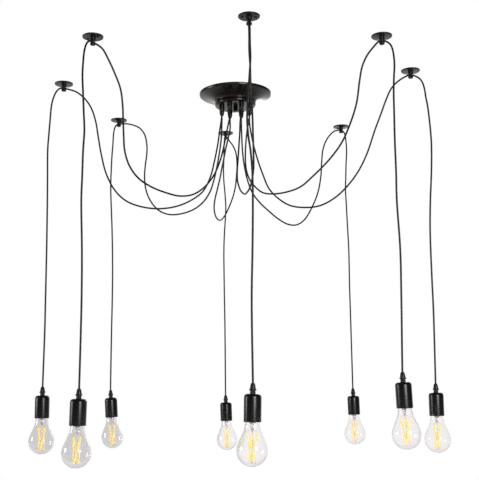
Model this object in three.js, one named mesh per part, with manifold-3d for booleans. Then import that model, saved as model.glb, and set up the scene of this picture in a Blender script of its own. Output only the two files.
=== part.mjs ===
import * as THREE from "three";
import { mergeVertices } from "three/addons/utils/BufferGeometryUtils.js";
import Module from "manifold-3d";

const wasm = await Module();
wasm.setup();

// A ceiling light with eight bulbs: cords leave one canopy, swag over eight hooks and hang straight down.
// Lengths are millimetres. The ceiling is the plane z = 0, the canopy's middle is the origin, +Z is up.

// Clearances and counts
const FACE_GAP = 0.3;
const CUT_OVERRUN = 2;
const WELD_DISTANCE = 0.0001;
const WIDE_STEPS = 32;
const DISC_STEPS = 14;
const ROUND_STEPS = 12;
const SMALL_STEPS = 10;
const SCREW_SIDES = 6;
const STRIP_SIDES = 4;
const WIRE_SIDES = 3;

// Cord
const CORD_DIAMETER = 4.2;
const CORD_SIDES = 8;
const EXIT_STRAIGHT = 9;
const HANG_DEPTH = 70;

// Canopy cover: a collar against the ceiling, a dish with a rim and a boss in the middle
const COVER_RADIUS = 94;
const COVER_RIM_TOP = 3.5;
const COVER_RIM_BOTTOM = 7.5;
const COVER_WALL = 1.6;
const BOSS_RADIUS = 54;
const BOSS_TOP_DEPTH = 27;
const BOSS_DEPTH = 38.5;
const BOSS_SHOULDER = 4;
const STUD_HOLE_RADIUS = 3.6;

// Cord grips: a flange, a tapered cone and a flat tip that the cord comes out of
const GRIP_FLANGE_DEPTH = 3;
const LAMP_GRIP_TIP_RADIUS = 3.5;
const LAMP_GRIP_CONE_RADIUS = 5.4;
const LAMP_GRIP_FLANGE_RADIUS = 6.3;
const LAMP_GRIP_LENGTH = 20;
const CANOPY_GRIP_TIP_RADIUS = 3.8;
const CANOPY_GRIP_CONE_RADIUS = 6;
const CANOPY_GRIP_FLANGE_RADIUS = 6.5;
const CANOPY_GRIP_LENGTH = 19.5;
const GRIP_RING_RADIUS = 39;
const GRIP_TURN = Math.PI / 8;

// Ceiling bracket: a crossbar with a stud for the canopy nut and a tongue for the terminal block
const BRACKET_LENGTH = 100;
const BRACKET_WIDTH = 20;
const BRACKET_THICKNESS = 2;
const BRACKET_SCREW_RADIUS = 2.6;
const BRACKET_SCREW_INSET = 9;
const TONGUE_WIDTH = 26;
const STUD_RADIUS = 3;
const STUD_LENGTH = 44;

// Canopy nut: a round nut with a domed end
const NUT_RADIUS = 6;
const NUT_LENGTH = 13;
const NUT_DOME = 2;
const NUT_BORE_RADIUS = 3.4;

// Terminal block, with a groove between its poles
const BLOCK_LENGTH = 60;
const BLOCK_WIDTH = 22;
const BLOCK_HEIGHT = 16;
const BLOCK_POLES = 3;
const BLOCK_GROOVE_WIDTH = 2;
const BLOCK_GROOVE_DEPTH = 3;
const BLOCK_OFFSET = 27;

// Ceiling hook: a disc, a post and a slotted stud that the cord lies in
const DISC_RADIUS = 23;
const DISC_THICKNESS = 3;
const DISC_EDGE = 1.2;
const POST_RADIUS = 6.5;
const POST_LENGTH = 6.1;
const PRONG_RADIUS = 4.5;
const PRONG_LENGTH = 8.8;
const SLOT_CLEARANCE = 0.3;
const HOOK_SCREW_RADIUS = 2;
const HOOK_SCREW_OFFSET = 13.5;

// Hook cap: a cup with a rounded end that closes the slot below the cord
const CAP_RADIUS = 6.2;
const CAP_BORE_RADIUS = 4.9;
const CAP_LENGTH = 5.3;
const CAP_FLOOR = 2.3;
const CAP_ROUNDING = 2.8;
const ARCH_DROP = 1.3;

// Lampholder: a plain cylinder with a rounded shoulder, on a flanged neck that carries its cord grip
const HOLDER_RADIUS = 17;
const HOLDER_LENGTH = 53;
const HOLDER_SHOULDER = 5;
const HOLDER_NECK_RADIUS = 5;
const HOLDER_NECK_LENGTH = 6;
const HOLDER_BORE_RADIUS = 13.7;
const HOLDER_BORE_DEPTH = 46;

// Bulb: a pear-shaped glass on a screw cap
const BULB_RADIUS = 30;
const BULB_GLASS_WALL = 1;
const BULB_DROP = 83;
const BULB_NECK_RADIUS = 14.4;
const BULB_SEAT_RADIUS = 13;
const BULB_SEAT_DEPTH = 3;
const BULB_CAP_LENGTH = 27;
const BULB_CAP_RADIUS = 13;
const BULB_TIP_RADIUS = 5.5;
const BULB_TIP_LENGTH = 4;

// Inside the glass: a stem, a rod and four filament strips that lean round the rod
const STEM_RADIUS = 5;
const STEM_DEPTH = 15;
const ROD_RADIUS = 1.1;
const FILAMENT_COUNT = 4;
const FILAMENT_RADIUS = 1.5;
const FILAMENT_TOP_DEPTH = 21;
const FILAMENT_BOTTOM_DEPTH = 75;
const FILAMENT_TOP_RADIUS = 10;
const FILAMENT_BOTTOM_RADIUS = 7;
const FILAMENT_TWIST = THREE.MathUtils.degToRad(-85);
const WIRE_RADIUS = 0.6;

// Where the hooks stand and how far the lampholders hang below the ceiling
const RING_RADIUS = 442;
const LAMP_FALL = 780;

// Dish profile from the rim in to the boss: shares of the way in and of the way down. The collar
// stands on the first of them. The inside is drawn in from them by shares of the wall.
const DISH_FLARE_SHARES = [
  [0.475, 0.28],
  [0.75, 0.5],
  [0.8875, 0.667],
  [0.9625, 0.846],
];
const DISH_INSET_SHARES = [0.7, 0.9];

// Glass profile from the neck down to the widest place: shares of the way down and of the way out
const NECK_FLARE_SHARES = [
  [0.3, 0.14],
  [0.6, 0.62],
  [0.82, 0.92],
];
const BELLY_ANGLES = [90, 56, 25].map(THREE.MathUtils.degToRad);

// Arms, counter-clockwise from above. Hook and hang places are shares of the hooks' ring radius,
// the fall is a share of the lampholders' fall and the lean is in degrees, with the bulb towards +X.
// The turn, in degrees, is that of the strips and stem about the bulb's own axis.
// A feed point is [run, height, side]: a negative run lies on the line from the hook to the canopy grip,
// a positive one on the line from the hook to the hang place. A drop point is [x from the lamp, height].
const ARMS = [
  {
    name: "near",
    hookShares: [0.068, -1.088],
    hangShares: [0.0701, -1.1267],
    lampShare: 0.0611,
    fallShare: 0.987,
    lean: -1.5,
    turn: 0,
    feed: [
      [-445, -85, -3], [-442, -120, -5], [-435, -159, -8], [-420, -196, -11], [-400, -227, -14],
      [-370, -261, -15], [-335, -287, -12], [-295, -306, -9], [-255, -321, -3], [-220, -325, 1],
      [-183, -322, 6], [-150, -313, 9], [-115, -295, 11], [-90, -262, 10], [-80, -225, 9],
      [-77, -177, 8], [-75, -145, 6], [-69, -113, 5], [-60, -84, 4], [-46, -57, 1.7],
      [-27, -32, 1.1], [11, -16.5, 0], [14.5, -23, 0], [16.3, -33, 0], [17.1, -48, 0],
    ],
    drop: [
      [4.6, -90], [3.7, -112], [1, -146], [-2, -186], [-4, -226], [-2, -262],
      [2, -292], [5, -340], [5, -400], [3, -490], [0, -590],
    ],
  },
  {
    name: "near_right",
    hookShares: [0.731, -0.835],
    hangShares: [0.7873, -0.8416],
    lampShare: 0.7647,
    fallShare: 0.964,
    lean: 1.5,
    turn: 66,
    feed: [
      [-459, -80, 0], [-466, -103, 0], [-472, -135, 0], [-475, -170, 0], [-472, -208, 0],
      [-458, -238, 0], [-435, -262, 0], [-408, -280, 0], [-370, -290, 0], [-318, -294, 0],
      [-270, -290, 0], [-226, -272, 0], [-172, -244, 0], [-130, -212, 0], [-102, -174, 0],
      [-81, -132, 0], [-70, -85, 0], [-60, -52, 0], [-44, -31, 0], [-25, -18, 0],
      [12, -15.3, 0], [18, -21, 0], [22, -31, 0], [24.5, -48, 0],
    ],
    drop: [[8, -94], [6, -128], [5, -179], [4, -240], [4, -307], [3, -369], [6, -477], [4, -583]],
  },
  {
    name: "right",
    hookShares: [0.971, -0.342],
    hangShares: [1.0498, -0.3439],
    lampShare: 1.0294,
    fallShare: 0.997,
    lean: -0.5,
    turn: 47,
    feed: [
      [-426, -85, 0], [-422, -110, 0], [-415, -144, 0], [-404, -184, 0], [-392, -219, 0],
      [-376, -258, 0], [-352, -286, 0], [-320, -308, 0], [-282, -317, 0], [-240, -316, 0],
      [-200, -299, 0], [-165, -270, 0], [-138, -237, 0], [-115, -195, 0], [-94, -140, 0],
      [-77, -100, 0], [-62, -64, 0], [-48, -38, 0], [-28, -21, 0], [13, -15.5, 0],
      [20, -20, 0], [27, -29, 0], [32, -46, 0],
    ],
    drop: [
      [12, -90], [15, -128], [17, -178], [16, -217], [13, -266],
      [8, -325], [4, -400], [3, -500], [3, -590],
    ],
  },
  {
    name: "far_right",
    hookShares: [0.71, 0.717],
    hangShares: [0.7466, 0.7443],
    lampShare: 0.7376,
    fallShare: 1.015,
    lean: 1,
    turn: 58,
    feed: [
      [-410, -87, 0], [-409, -115, 0], [-407, -150, 0], [-401, -188, 0], [-391, -222, 0],
      [-374, -254, 0], [-346, -278, 0], [-310, -298, 0], [-276, -314, 0], [-240, -324, 0],
      [-205, -322, 0], [-172, -304, 0], [-140, -266, 0], [-112, -218, 0], [-97, -168, 0],
      [-92, -128, 0], [-85, -88, 0], [-69, -56, 0], [-48, -33, 0], [-28, -19, 0],
      [12, -17, 0], [16, -25, 0], [18.7, -42, 0],
    ],
    drop: [[1, -115], [-1, -154], [-3, -190], [-2, -231], [-1, -280], [1, -371], [0, -480], [0, -590]],
  },
  {
    name: "far",
    hookShares: [-0.07, 0.839],
    hangShares: [-0.0837, 0.8846],
    lampShare: -0.0882,
    fallShare: 1.035,
    lean: 1.5,
    turn: 11,
    feed: [
      [-334, -86, 0], [-332, -111, 5], [-327, -140, 12], [-321, -165, 17], [-313, -188, 22],
      [-303, -213, 27], [-287, -240, 34], [-267, -263, 40], [-243, -280, 42], [-217, -295, 39],
      [-193, -303, 32], [-170, -302, 23], [-145, -290, 14], [-123, -271, 4], [-103, -244, -7],
      [-87, -212, -18], [-79, -180, -25], [-75, -149, -28], [-71, -118, -30], [-63, -82, -28],
      [-50, -57, -21], [-32, -36, -11], [12, -17, 0], [16.5, -25, 0], [19.5, -42, 0],
    ],
    drop: [
      [0, -110], [1, -147], [4, -186], [6, -226], [4, -266],
      [1, -310], [-1, -357], [-1, -450], [0, -590],
    ],
  },
  {
    name: "far_left",
    hookShares: [-0.76, 0.516],
    hangShares: [-0.8009, 0.5385],
    lampShare: -0.7986,
    fallShare: 1.009,
    lean: 3,
    turn: 68,
    feed: [
      [-367, -87, 0], [-365, -120, 0], [-359, -155, 0], [-351, -190, 0], [-341, -224, 0],
      [-327, -256, 0], [-304, -281, 0], [-270, -297, 0], [-226, -303, 0], [-185, -299, 0],
      [-150, -283, 0], [-120, -252, 0], [-104, -218, 0], [-99, -182, 0], [-102, -148, 0],
      [-107, -118, 0], [-107, -92, 0], [-99, -62, 0], [-80, -39, 0], [-54, -25, 0],
      [-30, -17, 0], [12, -17, 0], [16, -25, 0], [19, -42, 0],
    ],
    drop: [
      [-3, -97], [-5, -145], [-6, -186], [-5, -227], [-3, -268],
      [0, -340], [2, -430], [2, -519], [1, -600],
    ],
  },
  {
    name: "left",
    hookShares: [-0.977, -0.188],
    hangShares: [-1.0407, -0.2172],
    lampShare: -1.052,
    fallShare: 0.992,
    lean: 0,
    turn: 78,
    feed: [
      [-400, -82, 0], [-396, -107, 0], [-391, -142, 0], [-382, -187, 0], [-371, -230, 0],
      [-352, -268, 0], [-322, -292, 0], [-284, -309, 0], [-240, -316, 0], [-196, -312, 0],
      [-158, -298, 0], [-130, -272, 0], [-108, -230, 0], [-95, -180, 0], [-87, -135, 0],
      [-80, -95, 0], [-68, -60, 0], [-51, -36, 0], [-30, -20, 0], [13, -16.5, 0],
      [20, -26, 0], [26, -42, 0], [29.3, -56, 0],
    ],
    drop: [[3, -103], [1, -135], [-1, -176], [0, -240], [1, -302], [2, -426], [2, -548], [2, -620]],
  },
  {
    name: "near_left",
    hookShares: [-0.699, -0.864],
    hangShares: [-0.733, -0.9299],
    lampShare: -0.7262,
    fallShare: 0.996,
    lean: -1.5,
    turn: 57,
    feed: [
      [-452, -82, 0], [-446, -103, 0], [-438, -130, 0], [-428, -165, 0], [-415, -200, 0],
      [-392, -240, 0], [-360, -274, 0], [-318, -301, 0], [-270, -313, 0], [-220, -312, 0],
      [-172, -305, 0], [-134, -291, 0], [-108, -267, 0], [-95, -236, 0], [-92, -205, 0],
      [-90, -170, 0], [-88, -135, 0], [-81, -98, 0], [-62, -64, 0], [-45, -40, 0],
      [-27, -20, 0], [14, -16, 0], [22, -24, 0], [28, -38, 0], [31.3, -54, 0],
    ],
    drop: [
      [-4, -98], [-2, -140], [0, -180], [2, -219], [0, -265],
      [-1, -320], [-2, -370], [1, -475], [2, -578],
    ],
  },
];

// Heights that several pieces share
const POST_FACE = -DISC_THICKNESS - POST_LENGTH;
const CLAMP_HEIGHT = POST_FACE - FACE_GAP - CORD_DIAMETER / 2;
const CLAMP_REACH = CAP_RADIUS + FACE_GAP;
const CANOPY_GRIP_TIP = -BOSS_DEPTH - CANOPY_GRIP_LENGTH;
const BOSS_FACE = -BOSS_DEPTH;
const HOLDER_TOP = -LAMP_GRIP_LENGTH;
const HOLDER_RIM = HOLDER_TOP - HOLDER_LENGTH;

// A section of rounded corner from one direction to another, both in degrees
function arcPoints(x, y, radius, from, to, steps) {
  return Array.from({ length: steps + 1 }, (unused, i) => {
    const angle = THREE.MathUtils.degToRad(from + ((to - from) * i) / steps);
    return [x + radius * Math.cos(angle), y + radius * Math.sin(angle)];
  });
}

// A solid from a closed triangle surface
function solidOf(geometry) {
  const bare = geometry.clone();
  bare.deleteAttribute("normal");
  bare.deleteAttribute("uv");
  const merged = mergeVertices(bare, WELD_DISTANCE);
  const corners = merged.index.array;
  const triVerts = [];
  for (let i = 0; i < corners.length; i += 3) {
    const [a, b, c] = corners.slice(i, i + 3);
    if (a !== b && b !== c && c !== a) {
      triVerts.push(a, b, c);
    }
  }
  const vertProperties = new Float32Array(merged.attributes.position.array);
  return new wasm.Manifold(new wasm.Mesh({ numProp: 3, vertProperties, triVerts: new Uint32Array(triVerts) }));
}

// A triangle surface from a solid
function geometryOf(solid) {
  const { vertProperties, triVerts } = solid.getMesh();
  const geometry = new THREE.BufferGeometry();
  geometry.setAttribute("position", new THREE.BufferAttribute(vertProperties, 3));
  geometry.setIndex(new THREE.BufferAttribute(triVerts, 1));
  geometry.computeVertexNormals();
  return geometry;
}

// A turned solid about Z from [radius, height] points that run up its outside
function turned(profile, steps) {
  const points = profile.map(([radius, height]) => new THREE.Vector2(radius, height));
  return solidOf(new THREE.LatheGeometry(points, steps).rotateX(Math.PI / 2));
}

// A box from its lowest and highest corner
function block(low, high) {
  const size = low.map((value, i) => high[i] - value);
  const middle = low.map((value, i) => (high[i] + value) / 2);
  return solidOf(new THREE.BoxGeometry(...size).translate(...middle));
}

// A round bar along Z between two heights
function bar(x, y, radius, bottom, top, steps) {
  const geometry = new THREE.CylinderGeometry(radius, radius, top - bottom, steps);
  return solidOf(geometry.rotateX(Math.PI / 2).translate(x, y, (bottom + top) / 2));
}

// A thin straight bar between two places, run past both ends
function strut(from, to, radius, overrun, sides) {
  const along = to.clone().sub(from);
  const geometry = new THREE.CylinderGeometry(radius, radius, along.length() + 2 * overrun, sides);
  const turn = new THREE.Quaternion().setFromUnitVectors(new THREE.Vector3(0, 1, 0), along.clone().normalize());
  const middle = from.clone().add(to).divideScalar(2);
  return solidOf(geometry.applyQuaternion(turn).translate(...middle.toArray()));
}

// A curve whose steps fall on its own points, so that tight bends get more of them
class RouteCurve extends THREE.CatmullRomCurve3 {
  getUtoTmapping(u) {
    return u;
  }
}

// A cord along a route
function cord(route) {
  const section = new THREE.Shape();
  for (let i = 0; i < CORD_SIDES; i += 1) {
    const angle = (2 * Math.PI * i) / CORD_SIDES;
    const corner = [(CORD_DIAMETER / 2) * Math.cos(angle), (CORD_DIAMETER / 2) * Math.sin(angle)];
    if (i === 0) {
      section.moveTo(...corner);
    } else {
      section.lineTo(...corner);
    }
  }
  const extrudePath = new RouteCurve(route, false, "centripetal");
  return solidOf(new THREE.ExtrudeGeometry(section, { steps: route.length - 1, extrudePath }));
}

// Places of one arm: its canopy grip, its hook, where its cord turns down and the top of its lamp
function placesOf(arm, step) {
  const turn = -Math.PI / 2 + GRIP_TURN + (2 * Math.PI * step) / ARMS.length;
  const grip = new THREE.Vector2(Math.cos(turn), Math.sin(turn)).multiplyScalar(GRIP_RING_RADIUS);
  const hook = new THREE.Vector2(...arm.hookShares).multiplyScalar(RING_RADIUS);
  const hang = new THREE.Vector2(...arm.hangShares).multiplyScalar(RING_RADIUS);
  const lampHeight = LAMP_GRIP_LENGTH - arm.fallShare * LAMP_FALL;
  const lamp = new THREE.Vector3(arm.lampShare * RING_RADIUS, hang.y, lampHeight);
  const inward = grip.clone().sub(hook).normalize();
  const outward = hang.clone().sub(hook).normalize();
  return { grip, hook, hang, lamp, inward, outward };
}

// The feed's route: down out of the canopy grip, up over the hook and down to the hang place
function feedRoute(arm, places) {
  const { grip, hook, hang, inward, outward } = places;
  const sideways = new THREE.Vector2(inward.y, -inward.x);
  const place = ([run, height, side]) => {
    const plan = hook.clone();
    if (run < 0) {
      plan.addScaledVector(inward, -run).addScaledVector(sideways, side);
    } else {
      plan.addScaledVector(outward, run);
    }
    return new THREE.Vector3(plan.x, plan.y, height);
  };
  const clamped = [-CLAMP_REACH, 0, CLAMP_REACH].map((run) => {
    const plan = hook.clone().addScaledVector(outward, run);
    const drop = run === 0 ? 0 : ARCH_DROP;
    return new THREE.Vector3(plan.x, plan.y, CLAMP_HEIGHT - drop);
  });
  return [
    new THREE.Vector3(grip.x, grip.y, CANOPY_GRIP_TIP - FACE_GAP),
    new THREE.Vector3(grip.x, grip.y, CANOPY_GRIP_TIP - FACE_GAP - EXIT_STRAIGHT),
    ...arm.feed.filter(([run]) => run < 0).map(place),
    ...clamped,
    ...arm.feed.filter(([run]) => run > 0).map(place),
    new THREE.Vector3(hang.x, hang.y, -HANG_DEPTH),
  ];
}

// The drop's route: from the hang place to the lampholder's grip
function dropRoute(arm, places) {
  const { hang, lamp } = places;
  return [
    new THREE.Vector3(hang.x, hang.y, -HANG_DEPTH - FACE_GAP),
    ...arm.drop.map(([x, height]) => new THREE.Vector3(lamp.x + x, lamp.y, height)),
    new THREE.Vector3(lamp.x, lamp.y, lamp.z + FACE_GAP),
  ];
}

// A canopy grip that points down, with its flange let into the boss by half its wall
function canopyGrip() {
  const flangeTop = BOSS_FACE + COVER_WALL / 2;
  const flangeBottom = BOSS_FACE - GRIP_FLANGE_DEPTH;
  return turned(
    [
      [0, CANOPY_GRIP_TIP],
      [CANOPY_GRIP_TIP_RADIUS, CANOPY_GRIP_TIP],
      [CANOPY_GRIP_CONE_RADIUS, flangeBottom],
      [CANOPY_GRIP_FLANGE_RADIUS, flangeBottom],
      [CANOPY_GRIP_FLANGE_RADIUS, flangeTop],
      [0, flangeTop],
    ],
    SMALL_STEPS,
  );
}

function canopyCover() {
  const flare = DISH_FLARE_SHARES.map(([inward, down]) => [
    COVER_RADIUS + (BOSS_RADIUS - COVER_RADIUS) * inward,
    -COVER_RIM_BOTTOM + (COVER_RIM_BOTTOM - BOSS_TOP_DEPTH) * down,
  ]);
  const [[collarRadius, collarDish], ...lowerFlare] = flare;
  const [insetIn, insetUp] = DISH_INSET_SHARES.map((share) => share * COVER_WALL);
  const outside = [
    [STUD_HOLE_RADIUS, BOSS_FACE],
    ...arcPoints(BOSS_RADIUS - BOSS_SHOULDER, BOSS_FACE + BOSS_SHOULDER, BOSS_SHOULDER, -90, 0, 2),
    [BOSS_RADIUS, -BOSS_TOP_DEPTH],
    ...flare.toReversed(),
    [COVER_RADIUS, -COVER_RIM_BOTTOM],
    [COVER_RADIUS, -COVER_RIM_TOP],
  ];
  const inside = [
    [COVER_RADIUS - COVER_WALL, -COVER_RIM_TOP],
    [COVER_RADIUS - COVER_WALL, COVER_WALL - COVER_RIM_BOTTOM],
    [collarRadius, collarDish + COVER_WALL],
    [collarRadius, 0],
    [collarRadius - COVER_WALL, 0],
    [collarRadius - COVER_WALL, collarDish + COVER_WALL],
    ...lowerFlare.map(([radius, height]) => [radius - insetIn, height + insetUp]),
    [BOSS_RADIUS - COVER_WALL, -BOSS_TOP_DEPTH],
    [BOSS_RADIUS - COVER_WALL, BOSS_FACE + BOSS_SHOULDER],
    [BOSS_RADIUS - BOSS_SHOULDER, BOSS_FACE + COVER_WALL],
    [STUD_HOLE_RADIUS, BOSS_FACE + COVER_WALL],
  ];
  const shell = turned([...outside, ...inside, outside[0]], WIDE_STEPS);
  const grip = canopyGrip();
  return ARMS.reduce((cover, arm, step) => {
    const place = placesOf(arm, step).grip;
    return cover.add(grip.translate([place.x, place.y, 0]));
  }, shell);
}

function ceilingBracket() {
  const halfLength = BRACKET_LENGTH / 2;
  const halfWidth = BRACKET_WIDTH / 2;
  const screwPlace = halfLength - BRACKET_SCREW_INSET;
  const tongueEnd = BLOCK_OFFSET + BLOCK_WIDTH / 2;
  let bracket = block([-halfLength, -halfWidth, -BRACKET_THICKNESS], [halfLength, halfWidth, 0]);
  bracket = bracket.add(block([-TONGUE_WIDTH / 2, 0, -BRACKET_THICKNESS], [TONGUE_WIDTH / 2, tongueEnd, 0]));
  bracket = bracket.add(bar(0, 0, STUD_RADIUS, -STUD_LENGTH, -BRACKET_THICKNESS / 2, SMALL_STEPS));
  for (const x of [-screwPlace, screwPlace]) {
    const bottom = -BRACKET_THICKNESS - CUT_OVERRUN;
    bracket = bracket.subtract(bar(x, 0, BRACKET_SCREW_RADIUS, bottom, CUT_OVERRUN, SCREW_SIDES));
  }
  return bracket;
}

function canopyNut() {
  const top = BOSS_FACE - FACE_GAP;
  const bottom = top - NUT_LENGTH;
  const boreEnd = -STUD_LENGTH - FACE_GAP;
  return turned(
    [
      [0, bottom],
      [NUT_RADIUS - NUT_DOME, bottom],
      [NUT_RADIUS, bottom + NUT_DOME],
      [NUT_RADIUS, top],
      [NUT_BORE_RADIUS, top],
      [NUT_BORE_RADIUS, boreEnd],
      [0, boreEnd],
    ],
    SMALL_STEPS,
  );
}

function terminalBlock() {
  const halfLength = BLOCK_LENGTH / 2;
  const front = BLOCK_OFFSET - BLOCK_WIDTH / 2;
  const back = BLOCK_OFFSET + BLOCK_WIDTH / 2;
  const top = -BRACKET_THICKNESS - FACE_GAP;
  const bottom = top - BLOCK_HEIGHT;
  let body = block([-halfLength, front, bottom], [halfLength, back, top]);
  for (let pole = 1; pole < BLOCK_POLES; pole += 1) {
    const left = -halfLength + (BLOCK_LENGTH * pole) / BLOCK_POLES - BLOCK_GROOVE_WIDTH / 2;
    const low = [left, front - CUT_OVERRUN, bottom - CUT_OVERRUN];
    const high = [left + BLOCK_GROOVE_WIDTH, back + CUT_OVERRUN, bottom + BLOCK_GROOVE_DEPTH];
    body = body.subtract(block(low, high));
  }
  return body;
}

// The hook in its own frame, with the cord's slot along X
function ceilingHook() {
  const prongEnd = POST_FACE - PRONG_LENGTH;
  const halfSlot = CORD_DIAMETER / 2 + SLOT_CLEARANCE;
  let hook = turned(
    [
      [0, prongEnd],
      [PRONG_RADIUS, prongEnd],
      [PRONG_RADIUS, POST_FACE],
      [POST_RADIUS, POST_FACE],
      [POST_RADIUS, -DISC_THICKNESS],
      [DISC_RADIUS - DISC_EDGE, -DISC_THICKNESS],
      [DISC_RADIUS, DISC_EDGE - DISC_THICKNESS],
      [DISC_RADIUS, 0],
      [0, 0],
    ],
    DISC_STEPS,
  );
  const reach = PRONG_RADIUS + CUT_OVERRUN;
  hook = hook.subtract(block([-reach, -halfSlot, prongEnd - CUT_OVERRUN], [reach, halfSlot, POST_FACE]));
  for (const y of [-HOOK_SCREW_OFFSET, HOOK_SCREW_OFFSET]) {
    const bottom = -DISC_THICKNESS - CUT_OVERRUN;
    hook = hook.subtract(bar(0, y, HOOK_SCREW_RADIUS, bottom, CUT_OVERRUN, SCREW_SIDES));
  }
  return hook;
}

function hookCap() {
  const rim = CLAMP_HEIGHT - ARCH_DROP - CORD_DIAMETER / 2 - FACE_GAP;
  const floor = POST_FACE - PRONG_LENGTH - FACE_GAP;
  const bottom = Math.min(rim - CAP_LENGTH, floor - CAP_FLOOR);
  const rounding = Math.min(CAP_ROUNDING, rim - bottom);
  return turned(
    [
      [0, bottom],
      ...arcPoints(CAP_RADIUS - rounding, bottom + rounding, rounding, -90, 0, 2),
      [CAP_RADIUS, rim],
      [CAP_BORE_RADIUS, rim],
      [CAP_BORE_RADIUS, floor],
      [0, floor],
    ],
    SMALL_STEPS,
  );
}

// The lampholder and its grip in the lamp's frame, whose origin is the middle of the grip's tip
function lampholder() {
  const shoulder = arcPoints(
    HOLDER_RADIUS - HOLDER_SHOULDER, HOLDER_TOP - HOLDER_SHOULDER, HOLDER_SHOULDER, 0, 90, 2);
  const flangeBottom = HOLDER_TOP + HOLDER_NECK_LENGTH;
  const flangeTop = flangeBottom + GRIP_FLANGE_DEPTH;
  const boreFloor = HOLDER_RIM + HOLDER_BORE_DEPTH;
  return turned(
    [
      [0, boreFloor],
      [HOLDER_BORE_RADIUS, boreFloor],
      [HOLDER_BORE_RADIUS, HOLDER_RIM],
      [HOLDER_RADIUS, HOLDER_RIM],
      ...shoulder,
      [HOLDER_NECK_RADIUS, HOLDER_TOP],
      [HOLDER_NECK_RADIUS, flangeBottom],
      [LAMP_GRIP_FLANGE_RADIUS, flangeBottom],
      [LAMP_GRIP_FLANGE_RADIUS, flangeTop],
      [LAMP_GRIP_CONE_RADIUS, flangeTop],
      [LAMP_GRIP_TIP_RADIUS, 0],
      [0, 0],
    ],
    ROUND_STEPS,
  );
}

// One side of the bulb's glass, from the bottom up to the neck, drawn in by an inset
function glassSide(inset) {
  const radius = BULB_RADIUS - inset;
  const middle = HOLDER_RIM - BULB_DROP + BULB_RADIUS;
  const neckRadius = BULB_NECK_RADIUS - inset;
  const ledge = HOLDER_RIM - FACE_GAP - inset;
  const belly = BELLY_ANGLES.map((angle) => [radius * Math.cos(angle), middle - radius * Math.sin(angle)]);
  const flare = NECK_FLARE_SHARES.map(([down, out]) => [
    neckRadius + (radius - neckRadius) * out,
    ledge + (middle - ledge) * down,
  ]);
  return [
    ...belly,
    [radius, middle],
    ...flare.toReversed(),
    [neckRadius, ledge],
    [BULB_SEAT_RADIUS - inset, ledge],
    [BULB_SEAT_RADIUS - inset, HOLDER_RIM + BULB_SEAT_DEPTH],
  ];
}

function bulbGlass() {
  return turned([...glassSide(0), ...glassSide(BULB_GLASS_WALL).toReversed()], ROUND_STEPS);
}

// The screw cap, the stem and rod, and the filament strips with their wires
function bulbCore() {
  const capBottom = HOLDER_RIM + BULB_SEAT_DEPTH + FACE_GAP;
  const capTop = capBottom + BULB_CAP_LENGTH;
  const stemEnd = HOLDER_RIM - STEM_DEPTH;
  const top = HOLDER_RIM - FILAMENT_TOP_DEPTH;
  const bottom = HOLDER_RIM - FILAMENT_BOTTOM_DEPTH;
  let core = turned(
    [
      [0, bottom - WIRE_RADIUS],
      [ROD_RADIUS, bottom - WIRE_RADIUS],
      [ROD_RADIUS, stemEnd],
      [STEM_RADIUS, capBottom],
      [BULB_CAP_RADIUS, capBottom],
      [BULB_CAP_RADIUS, capTop - BULB_TIP_LENGTH],
      [BULB_TIP_RADIUS, capTop],
      [0, capTop],
    ],
    SMALL_STEPS,
  );
  for (let i = 0; i < FILAMENT_COUNT; i += 1) {
    const turn = (2 * Math.PI * i) / FILAMENT_COUNT;
    const end = turn + FILAMENT_TWIST;
    const high = new THREE.Vector3(
      FILAMENT_TOP_RADIUS * Math.cos(turn), FILAMENT_TOP_RADIUS * Math.sin(turn), top);
    const low = new THREE.Vector3(
      FILAMENT_BOTTOM_RADIUS * Math.cos(end), FILAMENT_BOTTOM_RADIUS * Math.sin(end), bottom);
    core = core.add(strut(high, low, FILAMENT_RADIUS, WIRE_RADIUS, STRIP_SIDES));
    core = core.add(strut(new THREE.Vector3(0, 0, high.z), high, WIRE_RADIUS, 0, WIRE_SIDES));
    core = core.add(strut(new THREE.Vector3(0, 0, low.z), low, WIRE_RADIUS, 0, WIRE_SIDES));
  }
  return core;
}

const LOOKS = {
  cover: { color: 0x2b2a2b, roughness: 0.42, metalness: 0.6 },
  steel: { color: 0x9a9ca0, roughness: 0.4, metalness: 0.9 },
  black: { color: 0x121212, roughness: 0.5, metalness: 0.1 },
  block: { color: 0xd8d8d2, roughness: 0.6, metalness: 0 },
  hook: { color: 0x3a3a3c, roughness: 0.45, metalness: 0.6 },
  cord: { color: 0x1b1b1d, roughness: 0.55, metalness: 0 },
  holder: { color: 0x161617, roughness: 0.4, metalness: 0.2 },
  glass: { color: 0xe4e4e6, roughness: 0.03, metalness: 0 },
  core: { color: 0xe6c65a, roughness: 0.4, metalness: 0.3 },
};

function meshOf(name, solid, look) {
  const mesh = new THREE.Mesh(geometryOf(solid), new THREE.MeshStandardMaterial(LOOKS[look]));
  mesh.name = name;
  return mesh;
}

const light = new THREE.Group();
light.add(meshOf("canopy_cover", canopyCover(), "cover"));
light.add(meshOf("ceiling_bracket", ceilingBracket(), "steel"));
light.add(meshOf("canopy_nut", canopyNut(), "black"));
light.add(meshOf("terminal_block", terminalBlock(), "block"));

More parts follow.
